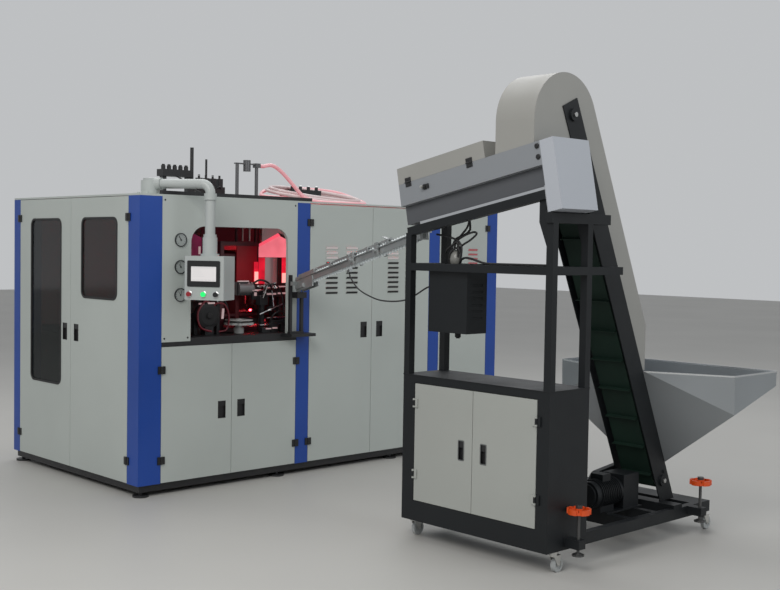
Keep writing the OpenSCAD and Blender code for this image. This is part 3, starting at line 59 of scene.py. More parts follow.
# Places taken over from part.scad, in millimetres of the machine frame
ROOF_Z = 1872
TABLE_Z = 976
UNIT_ORIGIN = (0, -1640, 1782)
UNIT_SLOPE = 11
CHUTE_ORIGIN = (750, -1668, 1634)
CHUTE_TURN = 15.4
CHUTE_SLOPE = 10.85
ARM_PIVOT = (170, 160)
ARM_REACH = 414
ARM_TURN = -60

# Frames of the parts that stand at an angle
UNIT = Matrix.Translation(at(*UNIT_ORIGIN)) @ degrees(-UNIT_SLOPE, "X")
CHUTE = Matrix.Translation(at(*CHUTE_ORIGIN)) @ degrees(-CHUTE_TURN, "Z") @ degrees(-CHUTE_SLOPE, "X")
DROP = (ARM_PIVOT[0] + ARM_REACH * math.cos(math.radians(ARM_TURN)),
        ARM_PIVOT[1] + ARM_REACH * math.sin(math.radians(ARM_TURN)))
CONTROL = Matrix.Translation(at(*DROP, 0)) @ degrees(ARM_TURN, "Z")
BODY = Matrix.Translation(SHIFT)
SHARED = Matrix.Identity(4)


# Materials
def shader(m):
    return m.node_tree.nodes["Principled BSDF"]


def new_material(name, color, rough=0.5, metal=0.0, spec=0.5, coat=0.0, emit=None, alpha=1.0):
    m = bpy.data.materials.new(name)
    m.use_nodes = True
    b = shader(m)
    b.inputs["Base Color"].default_value = (*color, 1)
    b.inputs["Roughness"].default_value = rough
    b.inputs["Metallic"].default_value = metal
    b.inputs["Specular IOR Level"].default_value = spec
    b.inputs["Coat Weight"].default_value = coat
    b.inputs["Alpha"].default_value = alpha
    if emit:
        b.inputs["Emission Color"].default_value = (*emit[:3], 1)
        b.inputs["Emission Strength"].default_value = emit[3]
    return m


def link(m, a, b):
    m.node_tree.links.new(a, b)


def add_node(m, kind, **values):
    n = m.node_tree.nodes.new(kind)
    for k, v in values.items():
        setattr(n, k, v)
    return n


def object_point(m, matrix=None):
    """The point in the object's own space, or in a tilted frame of it, in metres."""
    tex = add_node(m, "ShaderNodeTexCoord")
    if matrix is None:
        return tex.outputs["Object"]
    move = add_node(m, "ShaderNodeMapping", vector_type="TEXTURE")
    move.inputs["Location"].default_value = matrix.translation
    move.inputs["Rotation"].default_value = matrix.to_euler("XYZ")
    link(m, tex.outputs["Object"], move.inputs["Vector"])
    return move.outputs["Vector"]


def calculate(m, operation, first, second):
    """The result of one math node for two outputs."""
    n = add_node(m, "ShaderNodeMath", operation=operation)
    link(m, first, n.inputs[0])
    link(m, second, n.inputs[1])
    return n.outputs[0]


def inside(m, point, low, high):
    """1 inside the box from low to high, in metres, else 0."""
    low, high = Vector(low), Vector(high)
    off = add_node(m, "ShaderNodeVectorMath", operation="SUBTRACT")
    link(m, point, off.inputs[0])
    off.inputs[1].default_value = (low + high) / 2
    size = add_node(m, "ShaderNodeVectorMath", operation="ABSOLUTE")
    link(m, off.outputs[0], size.inputs[0])
    over = add_node(m, "ShaderNodeVectorMath", operation="SUBTRACT")
    link(m, size.outputs[0], over.inputs[0])
    over.inputs[1].default_value = (high - low) / 2
    split = add_node(m, "ShaderNodeSeparateXYZ")
    link(m, over.outputs[0], split.inputs[0])
    largest = calculate(m, "MAXIMUM", split.outputs[0], split.outputs[1])
    largest = calculate(m, "MAXIMUM", largest, split.outputs[2])
    less = add_node(m, "ShaderNodeMath", operation="LESS_THAN")
    link(m, largest, less.inputs[0])
    less.inputs[1].default_value = 0.0
    return less.outputs[0]


def any_of(m, masks):
    total = masks[0]
    for k in masks[1:]:
        total = calculate(m, "MAXIMUM", total, k)
    return total


# The part of the noise's range that a mottle spreads over its two values
NOISE_LOW = 0.3
NOISE_HIGH = 0.7
# Sockets of a mix node, for colours and for plain numbers
FACTOR, COLOR_A, COLOR_B, COLOR_OUT = 0, 6, 7, 2
NUMBER_A, NUMBER_B, NUMBER_OUT = 2, 3, 0


def mottle(m, scale, low, high, detail=3.0, stretch=(1, 1, 1)):
    """Slow change between two values over the surface."""
    size = add_node(m, "ShaderNodeMapping")
    size.inputs["Scale"].default_value = stretch
    link(m, object_point(m), size.inputs["Vector"])
    noise = add_node(m, "ShaderNodeTexNoise")
    noise.inputs["Scale"].default_value = scale
    noise.inputs["Detail"].default_value = detail
    link(m, size.outputs[0], noise.inputs["Vector"])
    span = add_node(m, "ShaderNodeMapRange")
    span.inputs["From Min"].default_value = NOISE_LOW
    span.inputs["From Max"].default_value = NOISE_HIGH
    span.inputs["To Min"].default_value = low
    span.inputs["To Max"].default_value = high
    link(m, noise.outputs[0], span.inputs[0])
    return span.outputs[0]


def shade(m, amount=0.94, scale=1.6):
    """Uneven paint: the base colour is a little darker in places."""
    b = shader(m)
    color = tuple(b.inputs["Base Color"].default_value)[:3]
    mix = add_node(m, "ShaderNodeMix", data_type="RGBA")
    mix.inputs[COLOR_A].default_value = (*color, 1)
    mix.inputs[COLOR_B].default_value = (*[c * amount for c in color], 1)
    link(m, mottle(m, scale, 0, 1), mix.inputs[FACTOR])
    link(m, mix.outputs[COLOR_OUT], b.inputs["Base Color"])
    return mix


def soft_edges(m, radius=0.0018, grain=0.0, grain_scale=900):
    """Rounded look of folded sheet edges, and the grain of powder coat."""
    b = shader(m)
    bevel = add_node(m, "ShaderNodeBevel", samples=3)
    bevel.inputs["Radius"].default_value = radius
    if grain:
        noise = add_node(m, "ShaderNodeTexNoise")
        noise.inputs["Scale"].default_value = grain_scale
        link(m, object_point(m), noise.inputs["Vector"])
        bump = add_node(m, "ShaderNodeBump")
        bump.inputs["Strength"].default_value = grain
        bump.inputs["Distance"].default_value = 0.0006
        link(m, noise.outputs[0], bump.inputs["Height"])
        link(m, bevel.outputs[0], bump.inputs["Normal"])
        link(m, bump.outputs[0], b.inputs["Normal"])
    else:
        link(m, bevel.outputs[0], b.inputs["Normal"])


def paint(name, color, rough=0.42, amount=0.94, grain=0.25, **more):
    m = new_material(name, color, rough, **more)
    shade(m, amount)
    soft_edges(m, grain=grain)
    link(m, mottle(m, 5, rough * 0.88, rough * 1.15), shader(m).inputs["Roughness"])
    return m


def box_mask(m, masks, matrix):
    """1 inside any of the boxes, given in metres of the object's space or of a tilted frame."""
    point = object_point(m, matrix)
    return any_of(m, [inside(m, point, low, high) for low, high in masks])


def two_tone(name, base, other, masks, matrix=None, other_rough=0.4, other_metal=0.0, grain=0.25):
    """Paint with a second colour inside boxes."""
    base_rough = 0.42
    m = new_material(name, base, base_rough)
    b = shader(m)
    first = shade(m)
    mask = box_mask(m, masks, matrix)
    mix = add_node(m, "ShaderNodeMix", data_type="RGBA")
    link(m, mask, mix.inputs[FACTOR])
    link(m, first.outputs[COLOR_OUT], mix.inputs[COLOR_A])
    mix.inputs[COLOR_B].default_value = (*other, 1)
    link(m, mix.outputs[COLOR_OUT], b.inputs["Base Color"])
    for socket, low, high in (("Roughness", base_rough, other_rough), ("Metallic", 0.0, other_metal)):
        span = add_node(m, "ShaderNodeMapRange")
        span.inputs["To Min"].default_value = low
        span.inputs["To Max"].default_value = high
        link(m, mask, span.inputs[0])
        link(m, span.outputs[0], b.inputs[socket])
    soft_edges(m, grain=grain)
    return m


def over_mask(m, mask, socket, value):
    """Puts a value over what drives a socket, where the mask is 1."""
    target = shader(m).inputs[socket]
    color = socket == "Base Color"
    mix = add_node(m, "ShaderNodeMix", data_type="RGBA" if color else "FLOAT")
    link(m, mask, mix.inputs[FACTOR])
    link(m, target.links[0].from_socket, mix.inputs[COLOR_A if color else NUMBER_A])
    mix.inputs[COLOR_B if color else NUMBER_B].default_value = value
    link(m, mix.outputs[COLOR_OUT if color else NUMBER_OUT], target)


def further_tone(m, other, masks, matrix, rough, metal):
    """One more colour inside boxes, over a material whose colour, roughness and metal are driven."""
    mask = box_mask(m, masks, matrix)
    over_mask(m, mask, "Base Color", (*other, 1))
    over_mask(m, mask, "Roughness", rough)
    over_mask(m, mask, "Metallic", metal)


PANEL = (0.50, 0.54, 0.515)
GREY_DOOR = (0.40, 0.415, 0.39)
BLUE = (0.011, 0.066, 0.36)
BLACK = (0.018, 0.018, 0.02)
RECESS_BLACK = (0.012, 0.012, 0.013)
ORANGE = (0.72, 0.085, 0.012)
CHARCOAL = (0.009, 0.011, 0.013)
UNIT_GREY = (0.335, 0.332, 0.312)
STEEL = (0.55, 0.55, 0.54)

panel = paint("panel", PANEL)
blue = paint("blue", BLUE, 0.38, 0.85)
black = paint("black", BLACK, 0.45, 0.8, grain=0.35)
satin_black = new_material("satin_black", RECESS_BLACK, 0.35)
charcoal = paint("charcoal", CHARCOAL, 0.5, 0.8, grain=0.3, spec=0.32)
unit_paint = paint("unit_grey", UNIT_GREY, 0.4)
hmi_paint = paint("hmi", (0.47, 0.50, 0.49), 0.36, 0.96)
machine_grey = paint("machine_grey", (0.10, 0.10, 0.105), 0.4, 0.8)
mould_red = paint("mould_red", (0.14, 0.014, 0.018), 0.38, 0.7)
zinc = new_material("zinc", (0.55, 0.55, 0.53), 0.35, 0.9)
chrome = new_material("chrome", (0.75, 0.75, 0.75), 0.14, 1.0)
rim_metal = new_material("rim_metal", (0.10, 0.105, 0.11), 0.22, 0.9)
white_plastic = new_material("white_plastic", (0.62, 0.62, 0.6), 0.4)
caster_grey = new_material("caster", (0.42, 0.44, 0.44), 0.45)
rubber = new_material("rubber", (0.014, 0.014, 0.015), 0.55)
tape = new_material("tape", (0.20, 0.20, 0.185), 0.4, coat=0.3)
dial = new_material("dial", (0.36, 0.39, 0.38), 0.3)
red_plastic = new_material("button_red", (0.32, 0.012, 0.02), 0.28, coat=0.4)
green_lit = new_material("button_green", (0.01, 0.42, 0.11), 0.25, emit=(0.02, 1.0, 0.18, 0.75))
window = new_material("window", (0.012, 0.016, 0.016), 0.06, alpha=0.62)
# Preforms glow faintly: painted light that makes them look clear and bright
preform = new_material("preform", (0.80, 0.85, 0.86), 0.15, coat=0.5, alpha=0.8, emit=(0.75, 0.8, 0.82, 0.06))
# The roof coil and the air hose glow faintly red: painted light of the oven's lamps
coil_mat = new_material("roof_coil", (0.60, 0.55, 0.545), 0.25, coat=0.5, emit=(0.9, 0.16, 0.2, 0.09))
hose_mat = new_material("hose", (0.60, 0.44, 0.45), 0.2, coat=0.5, emit=(0.95, 0.10, 0.17, 0.30))
lamp_mat = new_material("lamp", (1.0, 0.25, 0.12), 0.3, emit=(1.0, 0.035, 0.05, 22.0))

steel = new_material("steel", STEEL, 0.32, 1.0)
link(steel, mottle(steel, 60, 0.24, 0.42, 4, (1, 0.05, 0.4)), shader(steel).inputs["Roughness"])
shade(steel, 0.82, 2.4)
soft_edges(steel)

# The hopper's sheet, and a painted highlight along the folded edge of its rim above this height in metres
HOPPER_HIGHLIGHT_FOOT = 0.9135
brushed = new_material("brushed_sheet", (0.38, 0.405, 0.425), 0.36, 0.62)
shader(brushed).inputs["Anisotropic"].default_value = 0.6
link(brushed, mottle(brushed, 1.5, 0.34, 0.42, 1), shader(brushed).inputs["Roughness"])
link(brushed, mottle(brushed, 2, 0.58, 0.66, 1), shader(brushed).inputs["Metallic"])
shade(brushed, 0.93, 2)
# Pale band round the rim: a painted highlight of the folded edge
further_tone(brushed, (0.72, 0.74, 0.75), [((-4, -4, HOPPER_HIGHLIGHT_FOOT), (4, 4, 2))], SHARED, 0.25, 0.8)

aluminium = new_material("aluminium", (0.40, 0.42, 0.42), 0.4, 0.5)
shade(aluminium, 0.85, 6)
soft_edges(aluminium, 0.001)
belt = new_material("belt", (0.0035, 0.024, 0.014), 0.66)
shade(belt, 0.7, 5)


def dress(names, material):
    for n in names.split():
        mesh = nodes[n].data
        mesh.materials.clear()
        mesh.materials.append(material)


dress("base_frame work_table", black)
dress("corner_posts", blue)
dress("housing_panels front_fascia", panel)
dress("door_hinges roof_valves", satin_black)
dress("pressure_gauges", rim_metal)
dress("oven_housing", machine_grey)
# The blow station: red paint below this height in metres, bare metal above it
STATION_PAINT_TOP = 1.80
dress("blow_frame", two_tone("station", (0.085, 0.012, 0.017), (0.13, 0.13, 0.135),
                             [((-2, -1, STATION_PAINT_TOP), (2, 2, 2.5))], other_rough=0.3, other_metal=0.6))
dress("oven_lamps", lamp_mat)
dress("mould_left mould_right", mould_red)
dress("stretch_head", zinc)
dress("star_wheel", white_plastic)
dress("end_window_rear end_window_front", window)
dress("hmi_arm hmi_box", hmi_paint)
dress("stop_button", red_plastic)
dress("start_button", green_lit)
dress("mode_button", satin_black)
dress("feeder_frame electric_box elevator_rails gear_motor", charcoal)
dress("elevator_cover", unit_paint)
dress("elevator_belt", belt)
dress("hopper", brushed)
dress("roller_a roller_b drum_head drum_foot", steel)
dress("air_hose", hose_mat)
dress("sensor_cable feeder_cables", rubber)
dress("caster_fork_1 caster_fork_2 caster_fork_3 caster_fork_4", zinc)
dress("caster_wheel_1 caster_wheel_2 caster_wheel_3 caster_wheel_4", caster_grey)

# Doors: sizes and places from part.scad, in millimetres
DOOR_FOOT = 77
PULL_EDGE = 75
DOOR_PULL = (60, 112)
CABINET_PULL = (34, 96)
LOW_W = 1069 / 2 - 4.5
TALL_W = 1171 / 2 - 4.5
END_REAR_W = 1588 - 855 - 4.5
END_FRONT_W = 726 - 4.5
SIDE_W = 545 - 6
CABINET_W = (834 - 3) / 2
LOW_HINGES = (141, 706)
TALL_HINGES = (141, 1651)
CABINET_HINGES = (143, 524)
LOW_PULL_Z = 423
TALL_PULL_Z = 896
CABINET_PULL_Z = 314
END_REAR_Y = 1585
END_FRONT_Y = 853.5
CABINET_X = 612
CABINET_FOOT = 216
CABINET_LEFT_Y = -1780
CABINET_RIGHT_Y = -2198.5
LEFT, RIGHT = -1, 1
# The dark places reach this far past the recess, and this deep into it
RECESS_MARGIN = 0.4
RECESS_DEPTH = 16
# From the leaf's edge to the hinge's axis
AXIS_OFF = 1.5
HINGE_OUT = 20
HINGE_HALF = (30, 30)
CABINET_HINGE_HALF = (9, 15)


def on_front(x0, z0):
    """Leaf millimetres into the shared frame, for a leaf on the long front."""
    return lambda x, y, z: at(x0 + x, y, z0 + z)


def on_end(x0, y0, z0):
    """The same for a leaf on a left end, whose width runs towards the front."""
    return lambda x, y, z: at(x0 + y, y0 - x, z0 + z)


# Each leaf: width, side of its hinges, heights of the hinges, height of the pull, place
DOORS = {
    "end_door_rear": (END_REAR_W, LEFT, TALL_HINGES, TALL_PULL_Z, on_end(0, END_REAR_Y, DOOR_FOOT)),
    "end_door_front": (END_FRONT_W, RIGHT, TALL_HINGES, TALL_PULL_Z, on_end(0, END_FRONT_Y, DOOR_FOOT)),
    "lower_door_left": (LOW_W, LEFT, LOW_HINGES, LOW_PULL_Z, on_front(163, DOOR_FOOT)),
    "lower_door_right": (LOW_W, RIGHT, LOW_HINGES, LOW_PULL_Z, on_front(696, DOOR_FOOT)),
    "tall_door_left": (TALL_W, LEFT, TALL_HINGES, TALL_PULL_Z, on_front(1342, DOOR_FOOT)),
    "tall_door_right": (TALL_W, RIGHT, TALL_HINGES, TALL_PULL_Z, on_front(1926, DOOR_FOOT)),
    "side_door": (SIDE_W, RIGHT, TALL_HINGES, TALL_PULL_Z, on_front(2623, DOOR_FOOT)),
    "feeder_door_left": (CABINET_W, LEFT, CABINET_HINGES, CABINET_PULL_Z,
                         on_end(CABINET_X, CABINET_LEFT_Y, CABINET_FOOT)),
    "feeder_door_right": (CABINET_W, RIGHT, CABINET_HINGES, CABINET_PULL_Z,
                          on_end(CABINET_X, CABINET_RIGHT_Y, CABINET_FOOT)),
}


def door_masks(name):
    """Boxes of the pull's recess and of the hinge leaves, in the shared frame."""
    width, side, hinges, pull_z, place = DOORS[name]
    cabinet = name.startswith("feeder")
    pull = CABINET_PULL if cabinet else DOOR_PULL
    half = CABINET_HINGE_HALF if cabinet else HINGE_HALF
    pull_x = width - PULL_EDGE if side == LEFT else PULL_EDGE
    axis = -AXIS_OFF if side == LEFT else width + AXIS_OFF
    half_w = pull[0] / 2 + RECESS_MARGIN
    half_h = pull[1] / 2 + RECESS_MARGIN
    spans = [((pull_x - half_w, -RECESS_MARGIN, pull_z - half_h),
              (pull_x + half_w, RECESS_DEPTH, pull_z + half_h))]
    for z in hinges:
        spans.append(((axis - half[0], -HINGE_OUT, z - half[1]), (axis + half[0], -0.2, z + half[1])))
    boxes = []
    for low, high in spans:
        a = place(*low)
        b = place(*high)
        boxes.append((Vector(map(min, a, b)), Vector(map(max, a, b))))
    return boxes


# Louvres: middles of the columns along each leaf, and what part of a louvre is open
LOUVRES = {"tall_door_left": (195, 383), "tall_door_right": (203, 383), "side_door": (369,)}
LOUVRE_W = 110
LOUVRE_PITCH = 35
LOUVRE_N = 10
LOUVRE_Z = 1228 - DOOR_FOOT
LOUVRE_OUT = 12
SLOT_LOW = 6.5
SLOT_HIGH = 21
# Rows from this one up show painted light behind them in their open part; the open part of the rows below is
# painted black, as painted shade
LIT_ROW = {"tall_door_left": 7, "tall_door_right": 7, "side_door": 0}
HALL_LIGHT = (0.92, 0.84, 0.84)
OVEN_LIGHT = (0.62, 0.14, 0.16)


def slot_masks(name, rows):
    """The open upper part of each louvre, where the painted shade or the painted light goes."""
    place = DOORS[name][-1]
    half = LOUVRE_W / 2 - 2
    out = []
    for x in LOUVRES[name]:
        for k in rows:
            z = LOUVRE_Z + k * LOUVRE_PITCH
            out.append((place(x - half, -LOUVRE_OUT, z + SLOT_LOW), place(x + half, -0.4, z + SLOT_HIGH)))
    return out


for name in DOORS:
    paint_color = GREY_DOOR if name.startswith("feeder") else PANEL
    boxes = door_masks(name)
    # The open parts of the lower louvre rows: painted shade, in black
    if name in LOUVRES:
        boxes += slot_masks(name, range(LIT_ROW[name]))
    skin = two_tone(name + "_paint", paint_color, RECESS_BLACK, boxes)
    # The open parts of the upper louvre rows: painted light, pale or red
    if name in LOUVRES:
        lit = OVEN_LIGHT if name == "side_door" else HALL_LIGHT
        further_tone(skin, lit, slot_masks(name, range(LIT_ROW[name], LOUVRE_N)), SHARED, 0.4, 0.0)
    dress(name, skin)

# Orienting unit: pale lid, blue-grey sides, dark trough, polished rails, black hinge leaves
SIDE_GREY = (0.25, 0.265, 0.285)
TROUGH_GREY = (0.105, 0.11, 0.12)
RAIL_STEEL = (0.62, 0.63, 0.65)
BOX_GREY = (0.45, 0.475, 0.52)
# Where the drive end box begins and where the polished rails end, in metres of the unit's frame
BOX_Y = -1.0025
RAIL_Z = -0.1005
SIDES = [((0.5, BOX_Y, -0.001), (1.0, 0.1, 0.2))]
BELOW_SIDES = [((0.5, BOX_Y, -0.2), (1.0, 0.1, -0.0005))]
RAILS = [((0.5, BOX_Y, -0.3), (1.0, 0.2, RAIL_Z))]
END_BOX = [((0.4, -1.4, -0.3), (1.2, BOX_Y, 0.3))]
HINGES = [((0.57, y - 0.021, 0.09), (0.5999, y + 0.021, 0.2)) for y in (-0.097, -0.544)]
dress("orienting_lid", two_tone("lid", UNIT_GREY, RECESS_BLACK, HINGES, UNIT))
trough = two_tone("trough", UNIT_GREY, SIDE_GREY, SIDES, UNIT)
further_tone(trough, TROUGH_GREY, BELOW_SIDES, UNIT, 0.35, 0.3)
further_tone(trough, RAIL_STEEL, RAILS, UNIT, 0.16, 1.0)
further_tone(trough, BOX_GREY, END_BOX, UNIT, 0.36, 0.0)
further_tone(trough, RECESS_BLACK, HINGES, UNIT, 0.4, 0.0)
dress("orienting_trough", trough)
dress("chute", aluminium)

# Screw jacks: an orange handwheel, and bare metal below it and on the screw's end
WHEEL_FOOT = 0.2915
WHEEL_TOP = 0.3185
SCREW_HALF = 0.0175
for k in range(1, 5):
    low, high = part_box(f"jack_{k}")
    mid = (low + high) / 2
    stem = ((low.x - 0.01, low.y - 0.01, -0.1), (high.x + 0.01, high.y + 0.01, WHEEL_FOOT))
    tip = ((mid.x - SCREW_HALF, mid.y - SCREW_HALF, WHEEL_TOP), (mid.x + SCREW_HALF, mid.y + SCREW_HALF, 0.4))
    dress(f"jack_{k}", two_tone(f"jack_{k}_paint", ORANGE, (0.10, 0.10, 0.10), [stem, tip],
                                other_rough=0.35, other_metal=0.7, grain=0))


# Small pieces
def merged(parts):
    """One mesh from (vertices, faces) pairs in metres."""
    verts, faces = [], []
    for v, f in parts:
        base = len(verts)
        verts += [tuple(p) for p in v]
        faces += [[base + i for i in q] for q in f]
    mesh = bpy.data.meshes.new("piece")
    mesh.from_pydata(verts, [], faces)
    mesh.validate()
    mesh.update()
    return mesh


def add_piece(name, body, parts, material, smooth=False):
    """One object from its parts, dressed and hung on a body."""
    mesh = merged(parts)
    obj = bpy.data.objects.new(name, mesh)
    bpy.context.scene.collection.objects.link(obj)
    mesh.materials.append(material)
    if smooth:
        mesh.polygons.foreach_set("use_smooth", [True] * len(mesh.polygons))
    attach(obj, body)


def box_part(p, q, matrix=BODY):
    """Box between two corners in millimetres of a frame."""
    x, y, z = [sorted(pair) for pair in zip(p, q)]
    v = [matrix @ (Vector((i, j, k)) / MM) for i in x for j in y for k in z]
    return v, [(0, 1, 3, 2), (4, 6, 7, 5), (0, 4, 5, 1), (2, 3, 7, 6), (0, 2, 6, 4), (1, 5, 7, 3)]


def box_parts(corners):
    """Boxes of the machine frame from pairs of corners."""
    return [box_part(p, q) for p, q in corners]


def lathe_part(profile, origin, axis, matrix=BODY, n=24):
    """Turned piece: profile of (radius, height) in millimetres, from origin along axis."""
    axis = Vector(axis).normalized()
    side = axis.orthogonal().normalized()
    up = axis.cross(side)
    v, f = [], []
    for r, h in profile:
        for k in range(n):
            a = 2 * math.pi * k / n
            p = Vector(origin) + axis * h + (side * math.cos(a) + up * math.sin(a)) * r
            v.append(matrix @ (p / MM))
    for i in range(len(profile) - 1):
        for k in range(n):
            j = (k + 1) % n
            f.append((i * n + k, i * n + j, (i + 1) * n + j, (i + 1) * n + k))
    f.append(tuple(range(n - 1, -1, -1)))
    f.append(tuple((len(profile) - 1) * n + k for k in range(n)))
    return v, f


def round_outline(x0, z0, w, h, r, n=8):
    """Rectangle with rounded corners, in millimetres."""
    pts = []
    for cx, cz, a0 in ((x0 + w - r, z0 + h - r, 0), (x0 + r, z0 + h - r, 90), (x0 + r, z0 + r, 180),
                       (x0 + w - r, z0 + r, 270)):
        for k in range(n + 1):
            a = math.radians(a0 + 90 * k / n)
            pts.append((cx + r * math.cos(a), cz + r * math.sin(a)))
    return pts


def grown(rectangle, by, r):
    """Outline of a rectangle (left, foot, width, height) made larger on every side."""
    left, foot, width, height = rectangle
    return round_outline(left - by, foot - by, width + 2 * by, height + 2 * by, r)


def ring_part(outer, inner, y0, y1, matrix):
    """Flat frame between two outlines of the same number of points, from y0 to y1."""
    n = len(outer)
    v = [matrix @ (Vector((p[0], y, p[1])) / MM) for y in (y0, y1) for ring in (outer, inner) for p in ring]
    f = []
    for k in range(n):
        j = (k + 1) % n
        f += [(k, j, n + j, n + k), (2 * n + k, 3 * n + k, 3 * n + j, 2 * n + j),
              (k, 2 * n + k, 2 * n + j, j), (n + k, n + j, 3 * n + j, 3 * n + k)]
    return v, f


def plate_part(outline, y0, y1, matrix=BODY):
    """Flat plate with the given outline, from y0 to y1."""
    n = len(outline)
    v = [matrix @ (Vector((p[0], y, p[1])) / MM) for y in (y0, y1) for p in outline]
    f = [tuple(range(n)), tuple(range(2 * n - 1, n - 1, -1))]
    f += [(k, n + k, n + (k + 1) % n, (k + 1) % n) for k in range(n)]
    return v, f


def tube(name, points, diameter, material, resolution=2):
    """Round tube along points of the shared frame, on the fixed body."""
    curve = bpy.data.curves.new(name, "CURVE")
    curve.dimensions = "3D"
    curve.bevel_depth = diameter / 2
    curve.bevel_resolution = resolution
    curve.use_fill_caps = True
    spline = curve.splines.new("POLY")
    spline.points.add(len(points) - 1)
    for p, q in zip(spline.points, points):
        p.co = (*q, 1)
    obj = bpy.data.objects.new(name, curve)
    bpy.context.scene.collection.objects.link(obj)
    curve.materials.append(material)
    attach(obj, "root")
    return obj


# Points on a route between two of its given points
STEPS = 6


def smooth_path(pts, n):
    """The same curve as the cords in part.scad."""
    out = []
    for i in range(len(pts) - 1):
        p, a, b, c = (Vector(pts[max(i - 1, 0)]), Vector(pts[i]), Vector(pts[i + 1]),
                      Vector(pts[min(i + 2, len(pts) - 1)]))
        for k in range(n):
            t = k / n
            out.append(0.5 * (2 * a + (b - p) * t + (2 * p - 5 * a + 4 * b - c) * t ** 2
                              + (3 * a - p - 3 * b + c) * t ** 3))
    out.append(Vector(pts[-1]))
    return [at(*q) for q in out]


# Directions in the frames: out of the long front, out of a left face, up
FORWARD = (0, -1, 0)
LEFTWARD = (-1, 0, 0)
UPWARD = (0, 0, 1)


def end_face(x, y, z):
    """Frame of a leaf on a left end: x along the leaf, y into the machine."""
    return Matrix.Translation(at(x, y, z)) @ degrees(-90, "Z")


# Window gaskets: left edge, foot, width and height of each window on its leaf, and the leaf's place
WINDOWS = {
    "end_door_rear": ((168, 533, 430, 1112), END_REAR_Y),
    "end_door_front": ((145, 1133, 445, 515), END_FRONT_Y),
}
for name, (opening, y0) in WINDOWS.items():
    face = end_face(0, y0, DOOR_FOOT)
    inner = grown(opening, -9, 36)
    lip = ring_part(grown(opening, 5, 50), inner, -3, -0.1, face)
    lining = ring_part(grown(opening, 0.2, 45), inner, -0.5, 4.8, face)
    add_piece(name + "_gasket", name, [lip, lining], rubber)

# Rims round the pulls of the cabinet doors
pull_rim = new_material("pull_rim", (0.17, 0.18, 0.18), 0.35, 0.5)
CABINET_PULLS = (("feeder_door_left", CABINET_LEFT_Y, CABINET_W - PULL_EDGE),
                 ("feeder_door_right", CABINET_RIGHT_Y, PULL_EDGE))
for name, y0, pull_x in CABINET_PULLS:
    width, height = CABINET_PULL
    recess = (pull_x - width / 2, CABINET_PULL_Z - height / 2, width, height)
    face = end_face(CABINET_X, y0, CABINET_FOOT)
    rim = ring_part(grown(recess, 5, 7), grown(recess, 0, 4), -1.6, -0.05, face)
    add_piece(name + "_pull_rim", name, [rim], pull_rim)

# Gauges: pale dial, plain ticks from 225 degrees down, a needle on its hub
GAUGE_X = 293
GAUGE_Z = (1592, 1423, 1248)
TICKS = 11
TICK_STEP = 27
for k, z in enumerate(GAUGE_Z):
    disc = lathe_part([(37.6, 0), (37.6, 0.5)], (GAUGE_X, -5.1, z), FORWARD)
    add_piece(f"gauge_dial_{k + 1}", "root", [disc], dial)
    middle = Matrix.Translation(at(GAUGE_X, 0, z))
    marks = [box_part((27, -6.0, -0.8), (34, -5.7, 0.8), middle @ degrees(TICK_STEP * i - 225, "Y"))
             for i in range(TICKS)]
    marks.append(box_part((-8, -7.8, -1.1), (28, -6.6, 1.1), middle @ degrees(22 * k - 118, "Y")))
    marks.append(lathe_part([(5, 0), (5, 2.2)], (GAUGE_X, -5.6, z), FORWARD))
    add_piece(f"gauge_ticks_{k + 1}", "root", marks, satin_black)

# Fascia screws
FASCIA_SCREWS = ((180, 1838), (1208, 1838), (180, 978), (352, 978), (1168, 978))
add_piece("fascia_screws", "root",
          [lathe_part([(6, 0), (6, 1.6), (4.5, 2.6)], (x, 0.2, z), FORWARD, n=12) for x, z in FASCIA_SCREWS],
          satin_black)

# Control box: black bezel, lit screen with plain blocks, button collars
CONTROL_TOP = 1495
CONTROL_FRONT = -165 / 2
BEZEL = (-110, CONTROL_TOP - 188, 220, 160)
SCREEN = (-84, CONTROL_TOP - 154, 168, 90)
BUTTON_X = (-132.5 + 36, 0, 132.5 - 50)
BUTTON_Z = 1261


def screen_block(left, right, below, height):
    """Plain block on the screen; its foot is given below the top of the box."""
    foot = CONTROL_TOP - below
    return box_part((left, CONTROL_FRONT - 3.5, foot), (right, CONTROL_FRONT - 3.2, foot + height), CONTROL)


bezel = ring_part(round_outline(*BEZEL, 8, 4), round_outline(*SCREEN, 2, 4),
                  CONTROL_FRONT - 5.5, CONTROL_FRONT - 4.9, CONTROL)
add_piece("hmi_bezel", "hmi_box", [bezel], satin_black)
screen = new_material("screen", (0.1, 0.1, 0.1), 0.2, emit=(0.90, 0.86, 0.85, 0.72))
glass = plate_part(round_outline(*SCREEN, 1, 2), CONTROL_FRONT - 3.3, CONTROL_FRONT - 2.9, CONTROL)
add_piece("hmi_screen", "hmi_box", [glass], screen)
soft_grey = new_material("screen_grey", (0.1, 0.1, 0.1), 0.3, emit=(0.72, 0.70, 0.70, 0.78))
blocks = [screen_block(-84, 84, 74, 10)]
blocks += [screen_block(-78 + 27 * i, -56 + 27 * i, 151, 7) for i in range(6)]
blocks += [screen_block(-70, -20 + 9 * i, 86 + 13 * i, 3) for i in range(4)]
add_piece("hmi_screen_blocks", "hmi_box", blocks, soft_grey)
COLLAR = [(19.4, 0), (19.4, 1.2), (17.5, 2.0), (15.6, 2.0), (15.6, 0)]
add_piece("button_collars", "hmi_box",
          [lathe_part(COLLAR, (x, CONTROL_FRONT - 2.8, BUTTON_Z), FORWARD, CONTROL) for x in BUTTON_X],
          chrome)

